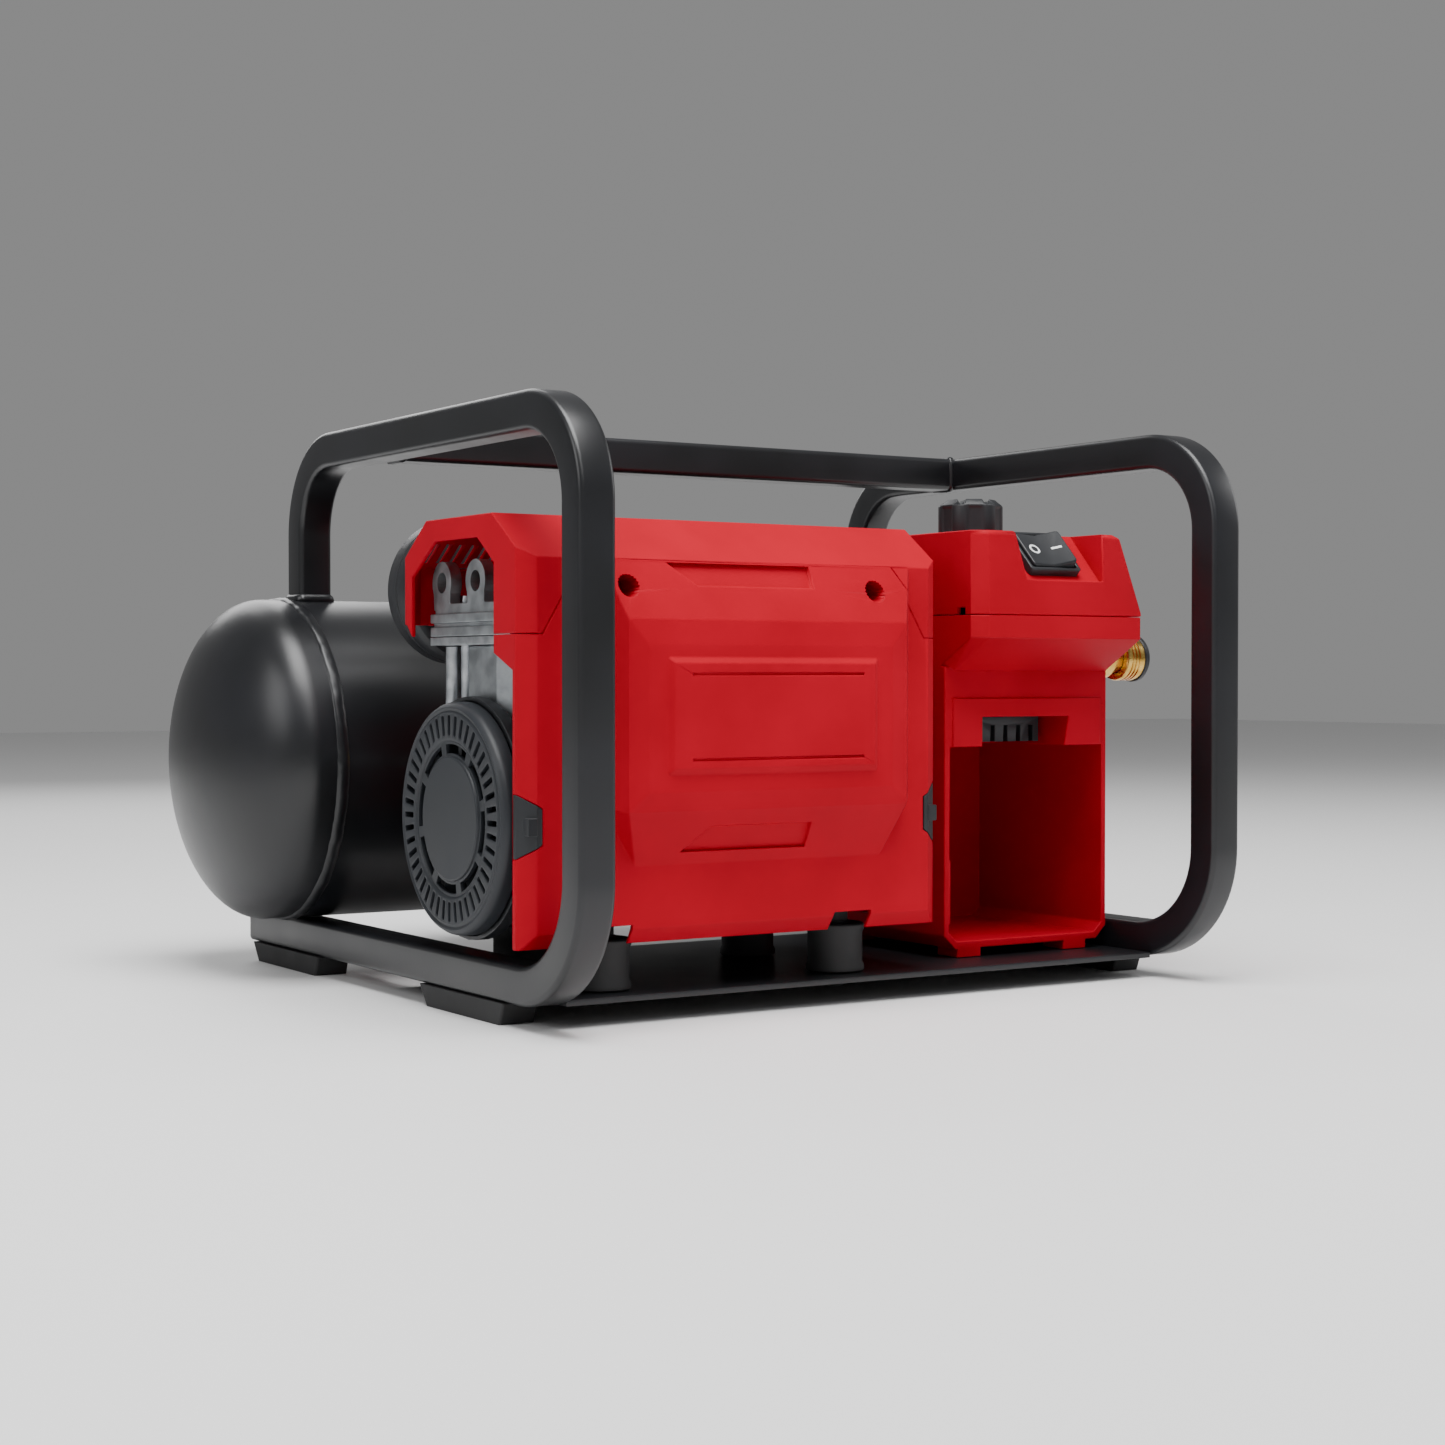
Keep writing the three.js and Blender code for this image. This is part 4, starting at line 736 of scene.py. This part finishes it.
# fan guard: a spun dish with a plain raised middle, cut by arc windows and a ring of radial slots
def makeFanCover():
    low, high = boxOf("fan_cover")
    middle = (low + high) / 2
    r = (high.z - low.z) / 2
    x = low.x
    face = [(0, 0.0002), (0.47, 0), (0.515, 0), (0.53, 0.0005), (0.535, 0.0013), (0.665, 0.0013),
            (0.675, 0.0006), (0.69, 0.0002), (0.90, 0.0002), (0.91, 0.0007), (0.925, 0.0009),
            (0.94, 0.0005), (0.95, 0.0004), (0.975, 0.0012), (0.992, 0.0028), (1, 0.0045)]
    profile = [(share * r, x + depth) for share, depth in face]
    profile += [(r, high.x - 0.0004), (r - 0.0004, high.x), (r - 0.0024, high.x),
                (r - 0.0026, x + 0.0035), (0, x + 0.0035)]
    guard = lathe("fan_guard", profile, "x", (0, middle.y, middle.z), 160)
    cutters = []
    half = fan["slotWide"] / 2
    front, back = x - fan["cutOut"], x + fan["cutIn"]
    slot = boxPiece("slot", (front, middle.y - half, middle.z + fan["slotFrom"] * r),
                    (back, middle.y + half, middle.z + fan["slotTo"] * r))
    roundAlong(slot, "x", half * 0.6, 3)
    # each window starts as a thin upright slice that is swept round the middle
    window = boxPiece("window", (front, middle.y - 0.0001, middle.z + fan["windowFrom"] * r),
                      (back, middle.y + 0.0001, middle.z + fan["windowTo"] * r))
    sweep = 2 * math.pi / fan["windows"] - fan["bar"]
    startEditing(window)
    selectWhere(window, "faces", lambda centre, normal: normal.y > along)
    bpy.ops.mesh.spin(steps=8, angle=sweep, center=middle, axis=(1, 0, 0))
    bpy.ops.mesh.select_all(action="SELECT")
    bpy.ops.mesh.normals_make_consistent(inside=False)
    stopEditing()
    for shape, count, start in ((slot, fan["slots"], 0), (window, fan["windows"], sweep / 2)):
        for i in range(count):
            twin = twinOf(shape, shape.name + str(i))
            startEditing(twin)
            bpy.ops.transform.rotate(value=start + i / count * 2 * math.pi, orient_axis="X",
                                     center_override=middle)
            stopEditing()
            cutters.append(twin)
        bpy.data.objects.remove(shape)
    cutter = joined(cutters, "guardCutter")
    modify(guard, "BOOLEAN", object=cutter, operation="DIFFERENCE", solver="EXACT")
    bpy.data.objects.remove(cutter)
    modify(guard, "BEVEL", width=0.00035, segments=2, limit_method="ANGLE",
           angle_limit=math.radians(50), use_clamp_overlap=True)
    smooth(guard, 30)
    return adopt(guard, greyNylon, ["fan_cover"])


makeFanCover()
print("fan guard made")


# the knob's half width over two flats, its corners, its sloping shoulder and its sunk side panels
knob = {"flat": 0.0165, "corner": 0.0045, "shoulder": 0.0042, "drop": 0.0036, "outerBand": 0.0012,
        "inset": 0.0019, "dent": 0.0009}


# regulator knob: a six-sided grip with rounded corners and a sunk panel on each side
def makeKnob():
    low, high = boxOf("regulator_knob")
    middle = (low + high) / 2
    clearSelection()
    bpy.ops.mesh.primitive_cylinder_add(vertices=6, radius=knob["flat"] / math.cos(math.pi / 6),
                                        depth=high.z - low.z, location=middle)
    grip = bpy.context.object
    grip.name = "regulator_grip"
    settle(grip)
    roundAlong(grip, "z", knob["corner"], 5)
    startEditing(grip)
    selectWhere(grip, "faces", lambda centre, normal: normal.z > along)
    bpy.ops.mesh.inset(thickness=knob["shoulder"])
    bandFrom = knob["flat"] - knob["outerBand"]
    selectWhere(grip, "edges", lambda centre, way: centre.z > high.z - near
                and math.hypot(centre.x - middle.x, centre.y - middle.y) > bandFrom)
    bpy.ops.transform.translate(value=(0, 0, -knob["drop"]))
    stopEditing()
    # the six side panels are the large upright faces
    wide = 2 * (knob["flat"] * math.tan(math.pi / 6) - knob["corner"] * 0.6)
    large = wide * 0.6 * (high.z - low.z)
    panels = [f.center.copy() for f in grip.data.polygons if abs(f.normal.z) < 0.1 and f.area > large]
    startEditing(grip)
    selectWhere(grip, "faces", lambda centre, normal: any((centre - p).length < near for p in panels))
    bpy.ops.mesh.inset(thickness=knob["inset"], use_individual=True)
    bpy.ops.transform.shrink_fatten(value=-knob["dent"])
    stopEditing()
    modify(grip, "BEVEL", width=0.0007, segments=3, limit_method="ANGLE", angle_limit=math.radians(24),
           use_clamp_overlap=True)
    smooth(grip, 30)
    return adopt(grip, blackNylon, ["regulator_knob"])


# heights are above the rocker's pivot, and the marks stand proud of its two flats
rocker = {"half": (0.0143, 0.0123), "foot": -0.005, "end": 0.0058, "valley": 0.0031,
          "rest": math.radians(-7), "corner": 0.0022, "edge": 0.0013}
rockerMarks = {"ring": (0.0022, 0.0034), "bar": (0.0032, 0.0007), "sunk": 0.0001, "proud": 0.00012}
bezel = {"half": (0.0174, 0.0150), "hole": (0.0152, 0.0127), "foot": -0.004, "rise": 0.0026,
         "corner": 0.0024, "holeCorner": 0.0012}


def switchFrame():
    across, pivot = jointNamed("rocker_tilt")
    right = axisVector["x"]
    return right, across, right.cross(across), pivot


# rocker: two flats that meet in a valley, with a ring printed on the left one and a bar on the right
def makeRocker():
    hx, hy = rocker["half"]
    paddle = boxPiece("rocker_paddle", (-hx, -hy, rocker["foot"]), (hx, hy, rocker["end"]))
    startEditing(paddle)
    bpy.ops.mesh.bisect(plane_co=(0, 0, 0), plane_no=(1, 0, 0))
    selectWhere(paddle, "edges", lambda centre, way: abs(centre.x) < near
                and centre.z > rocker["end"] - near)
    bpy.ops.transform.translate(value=(0, 0, rocker["valley"] - rocker["end"]))
    # its four upright corners, then the rim of its two flats
    selectWhere(paddle, "edges", lambda centre, way: abs(way.z) > along and abs(centre.x) > hx / 2)
    bpy.ops.mesh.bevel(offset=rocker["corner"], segments=5, affect="EDGES")
    selectWhere(paddle, "edges", lambda centre, way: centre.z > rocker["valley"] + near
                and abs(way.z) < 0.5 and max(abs(centre.x) / hx, abs(centre.y) / hy) > 0.93)
    bpy.ops.mesh.bevel(offset=rocker["edge"], segments=4, affect="EDGES")
    stopEditing()
    smooth(paddle, 25)
    slope = math.atan2(rocker["end"] - rocker["valley"], hx)
    lift = (rocker["end"] + rocker["valley"]) / 2
    inner, outer = rockerMarks["ring"]
    bx, by = rockerMarks["bar"]
    under, over = -rockerMarks["sunk"], rockerMarks["proud"]
    ring = lathe("off_ring", [(inner, under), (outer, under), (outer, over), (inner, over),
                              (inner, under)], "z", (0, 0, 0), 48)
    bar = boxPiece("on_bar", (-bx, -by, under), (bx, by, over))
    soften(bar, 0.00006, 1)
    for mark, side in ((ring, -1), (bar, 1)):
        lean = Matrix.Rotation(-side * slope, 4, "Y")
        mark.matrix_world = Matrix.Translation((side * hx / 2, 0, lift)) @ lean
        settle(mark)
        mark.data.materials.append(markPaint)
    paddle.data.materials.append(blackNylon)
    switch = joined([paddle, ring, bar], "rocker_paddle")
    switch.matrix_world = Matrix.Rotation(rocker["rest"], 4, "Y")
    settle(switch)
    right, across, outward, pivot = switchFrame()
    placeOn(switch, right, across, outward, pivot)
    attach(switch, "rocker")
    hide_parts("rocker_switch")


# the switch's bezel: a rounded frame that stands on the slope round the rocker
def makeBezel():
    hx, hy = bezel["half"]
    rim = boxPiece("switch_bezel", (-hx, -hy, bezel["foot"]), (hx, hy, bezel["rise"]))
    roundAlong(rim, "z", bezel["corner"], 5)
    ox, oy = bezel["hole"]
    hole = boxPiece("hole", (-ox, -oy, -0.01), (ox, oy, 0.01))
    roundAlong(hole, "z", bezel["holeCorner"], 4)
    modify(rim, "BOOLEAN", object=hole, operation="DIFFERENCE", solver="EXACT")
    bpy.data.objects.remove(hole)
    modify(rim, "BEVEL", width=0.0007, segments=3, limit_method="ANGLE", angle_limit=math.radians(50),
           use_clamp_overlap=True)
    smooth(rim)
    right, across, outward, pivot = switchFrame()
    placeOn(rim, right, across, outward, pivot)
    return adopt(rim, blackNylon, body="body")


gauge = {"radius": 0.0165, "ticks": 26, "redTicks": 4, "sweep": math.radians(270)}


# one gauge: cup and bezel, a card dial with ticks, an acrylic lens, and the needle on its own body
def makeGauge(name):
    axis, hub = jointNamed(name + "_needle_swing")
    outward = -axis
    right = axisVector["y"]
    up = outward.cross(right)
    r = gauge["radius"]
    profile = [(0, -0.014), (r - 0.001, -0.014), (r, -0.013), (r, 0.0016), (r - 0.0004, 0.0026),
               (r - 0.0014, 0.0031), (r - 0.0024, 0.0028), (r - 0.0027, 0.0022), (r - 0.0027, -0.0009),
               (0, -0.0009)]
    cup = lathe(name + "_gauge_cup", profile, "z", (0, 0, 0), 96)
    placeOn(cup, right, up, outward, hub)
    adopt(cup, blackNylon, [name + "_gauge"])
    dial = lathe(name + "_gauge_dial", [(0, -0.0012), (r - 0.0028, -0.0012), (r - 0.0028, -0.00078),
                                        (0, -0.00078)], "z", (0, 0, 0), 64)
    dial.data.materials.append(dialCard)
    ticks = []
    for i in range(gauge["ticks"]):
        long = i % 5 == 0
        tick = boxPiece("tick", (-0.00016 - 0.0001 * long, r - 0.0052 - 0.0012 * long, -0.0009),
                        (0.00016 + 0.0001 * long, r - 0.0038, -0.0007))
        angle = gauge["sweep"] * (0.5 - i / (gauge["ticks"] - 1))
        tick.matrix_world = Matrix.Rotation(angle, 4, "Z")
        settle(tick)
        isRed = i >= gauge["ticks"] - gauge["redTicks"]
        tick.data.materials.append(needleRed if isRed else blackNylon)
        ticks.append(tick)
    face = joined([dial, *ticks], name + "_gauge_dial")
    placeOn(face, right, up, outward, hub)
    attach(face, "body")
    lens = lathe(name + "_gauge_lens", [(0, 0.0018), (r - 0.0028, 0.0016), (r - 0.0028, 0.0022),
                                        (0, 0.0025)], "z", (0, 0, 0), 64)
    placeOn(lens, right, up, outward, hub)
    adopt(lens, lensAcrylic, body="body")
    makeNeedle(name, right, up, outward, hub)


def makeNeedle(name, right, up, outward, hub):
    boss = lathe("boss", [(0, -0.0006), (0.0019, -0.0006), (0.0021, -0.0003), (0.0019, 0.0007),
                          (0.0014, 0.001), (0, 0.001)], "z", (0, 0, 0), 32)
    pointer = boxPiece("pointer", (-0.00055, -0.0035, 0), (0.00055, 0.0105, 0.0005))
    startEditing(pointer)
    selectWhere(pointer, "faces", lambda centre, normal: normal.y > along)
    bpy.ops.transform.resize(value=(0.3, 1, 1))
    stopEditing()
    soften(pointer, 0.0001, 1)
    pointer.matrix_world = Matrix.Rotation(gauge["sweep"] / 2, 4, "Z")
    settle(pointer)
    needle = joined([boss, pointer], name + "_needle_red")
    placeOn(needle, right, up, outward, hub)
    return adopt(needle, needleRed, [name + "_gauge_needle"])


# quick coupler: turned brass body, and a sleeve with three grip grooves and a black bumper ring
def makeCoupler():
    low, high = boxOf("coupler_body")
    axis = (0, (low.y + high.y) / 2, (low.z + high.z) / 2)
    x = low.x
    profile = [(0, x), (0.0104, x), (0.011, x + 0.0006), (0.011, x + 0.0072), (0.0104, x + 0.0078),
               (0.0086, x + 0.008), (0.0085, x + 0.0084), (0.0085, high.x - 0.0006), (0.0079, high.x),
               (0.0064, high.x), (0.0057, high.x - 0.0008), (0.0056, x + 0.010), (0, x + 0.010)]
    adopt(lathe("coupler_turned", profile, "x", axis, 72), turnedBrass, ["coupler_body"])
    low, high = boxOf("coupler_sleeve")
    start, end, bore, r = low.x, high.x, 0.00882, 0.0125
    profile = [(bore, start), (r - 0.0012, start), (r - 0.0004, start + 0.0005), (r, start + 0.0014)]
    for groove in (0.0032, 0.0056, 0.008):
        at = start + groove
        profile += [(r, at), (r - 0.0006, at + 0.0004), (r - 0.0006, at + 0.0009), (r, at + 0.0013)]
    profile += [(r, end - 0.0034), (bore, end - 0.0034), (bore, start)]
    sleeve = lathe("sleeve_grip", profile, "x", axis, 96)
    sleeve.data.materials.append(turnedBrass)
    profile = [(bore, end - 0.0033), (0.0127, end - 0.0033), (0.0132, end - 0.0027),
               (0.0132, end - 0.0008),
               (0.0126, end), (bore + 0.0008, end), (bore, end - 0.0006), (bore, end - 0.0033)]
    bumper = lathe("sleeve_bumper", profile, "x", axis, 96)
    bumper.data.materials.append(blackNylon)
    grip = joined([sleeve, bumper], "coupler_grip")
    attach(grip, "sleeve")
    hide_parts("coupler_sleeve")


makeKnob()
makeRocker()
makeBezel()
makeGauge("tank")
makeGauge("line")
makeCoupler()
print("control box fittings made")


# a bent tube that runs where the CAD tube runs, from its own bends
def makeAirLines():
    low, high = boxOf("discharge_tube")
    r = 0.004
    left, right = low.x + r, high.x - r
    front, back = low.y + r, high.y
    level = boxOf("tank_barrel")[0].z + tankRadius
    route = [(left, front, high.z), (left, front, high.z - 0.030), (left, front + 0.002, high.z - 0.0374),
             (left + 0.0005, front + 0.010, high.z - 0.0454),
             (left + 0.002, front + 0.022, high.z - 0.0514),
             (left + 0.007, front + 0.034, high.z - 0.0564),
             (left + 0.017, front + 0.042, high.z - 0.0594),
             (left + 0.032, front + 0.048, high.z - 0.0609), (right, back - 0.010, level),
             (right, back, level)]
    adopt(tubePiece("discharge_line", route, r), zincSteel, ["discharge_tube"])
    low, high = boxOf("outlet_tube")
    x = (low.x + high.x) / 2
    top = high.z - r
    route = [(x, high.y, level), (x, high.y - 0.014, level), (x, low.y + 0.028, level + 0.010),
             (x, low.y + 0.024, top - 0.024), (x, low.y + 0.018, top - 0.004), (x, low.y + 0.012, top),
             (x, low.y, top)]
    adopt(tubePiece("outlet_line", route, r), zincSteel, ["outlet_tube"])


# intake filter: a ribbed cap on a shallow can, with a domed middle
def makeIntake():
    low, high = boxOf("intake_filter")
    middle = (low + high) / 2
    r = (high.z - low.z) / 2
    y = low.y
    profile = [(0, y), (0.014, y), (0.014, y + 0.003), (0.033, y + 0.003), (0.036, y + 0.0045),
               (r - 0.0006, y + 0.007), (r, y + 0.009), (r, y + 0.016), (r - 0.0006, y + 0.0164),
               (r - 0.0006, y + 0.0172), (r, y + 0.0176), (r, high.y - 0.003),
               (r - 0.001, high.y - 0.0012), (r - 0.003, high.y), (0.027, high.y),
               (0.0255, high.y - 0.0012), (0.0135, high.y - 0.0012), (0.012, high.y), (0, high.y)]
    can = lathe("intake_can", profile, "y", (middle.x, 0, middle.z), 96)
    return adopt(can, blackNylon, ["intake_filter"])


makeAirLines()
makeIntake()
print("air lines and intake made")


edgeOf = {"crankcase": 0.0006, "cylinder": 0.0008, "cylinder_head": 0.0005, "pump_bracket": 0.0005,
          "motor_case": 0.0004, "terminal_block": 0.0003}

for inner in ("pump_bracket", "crankcase", "cylinder", "valve_plate", "cylinder_head", "head_bolt_1",
              "head_bolt_2", "head_bolt_3", "head_bolt_4", "piston_and_rod", "motor_case", "cooling_fan",
              "fan_housing", "terminal_block", "manifold"):
    softCopy(inner, finishOfSlot[slotOf[inner]], edgeOf.get(inner, 0.0003), 2, shortest=0.003)
for inner in ("crankshaft", "piston_cup_seal", "bearing_crank", "bearing_motor", "motor_stator",
              "motor_rotor"):
    softCopy(inner, plainSteel if slotOf[inner] == "steel" else finishOfSlot[slotOf[inner]], 0.0002, 2)
print("inner pieces made")
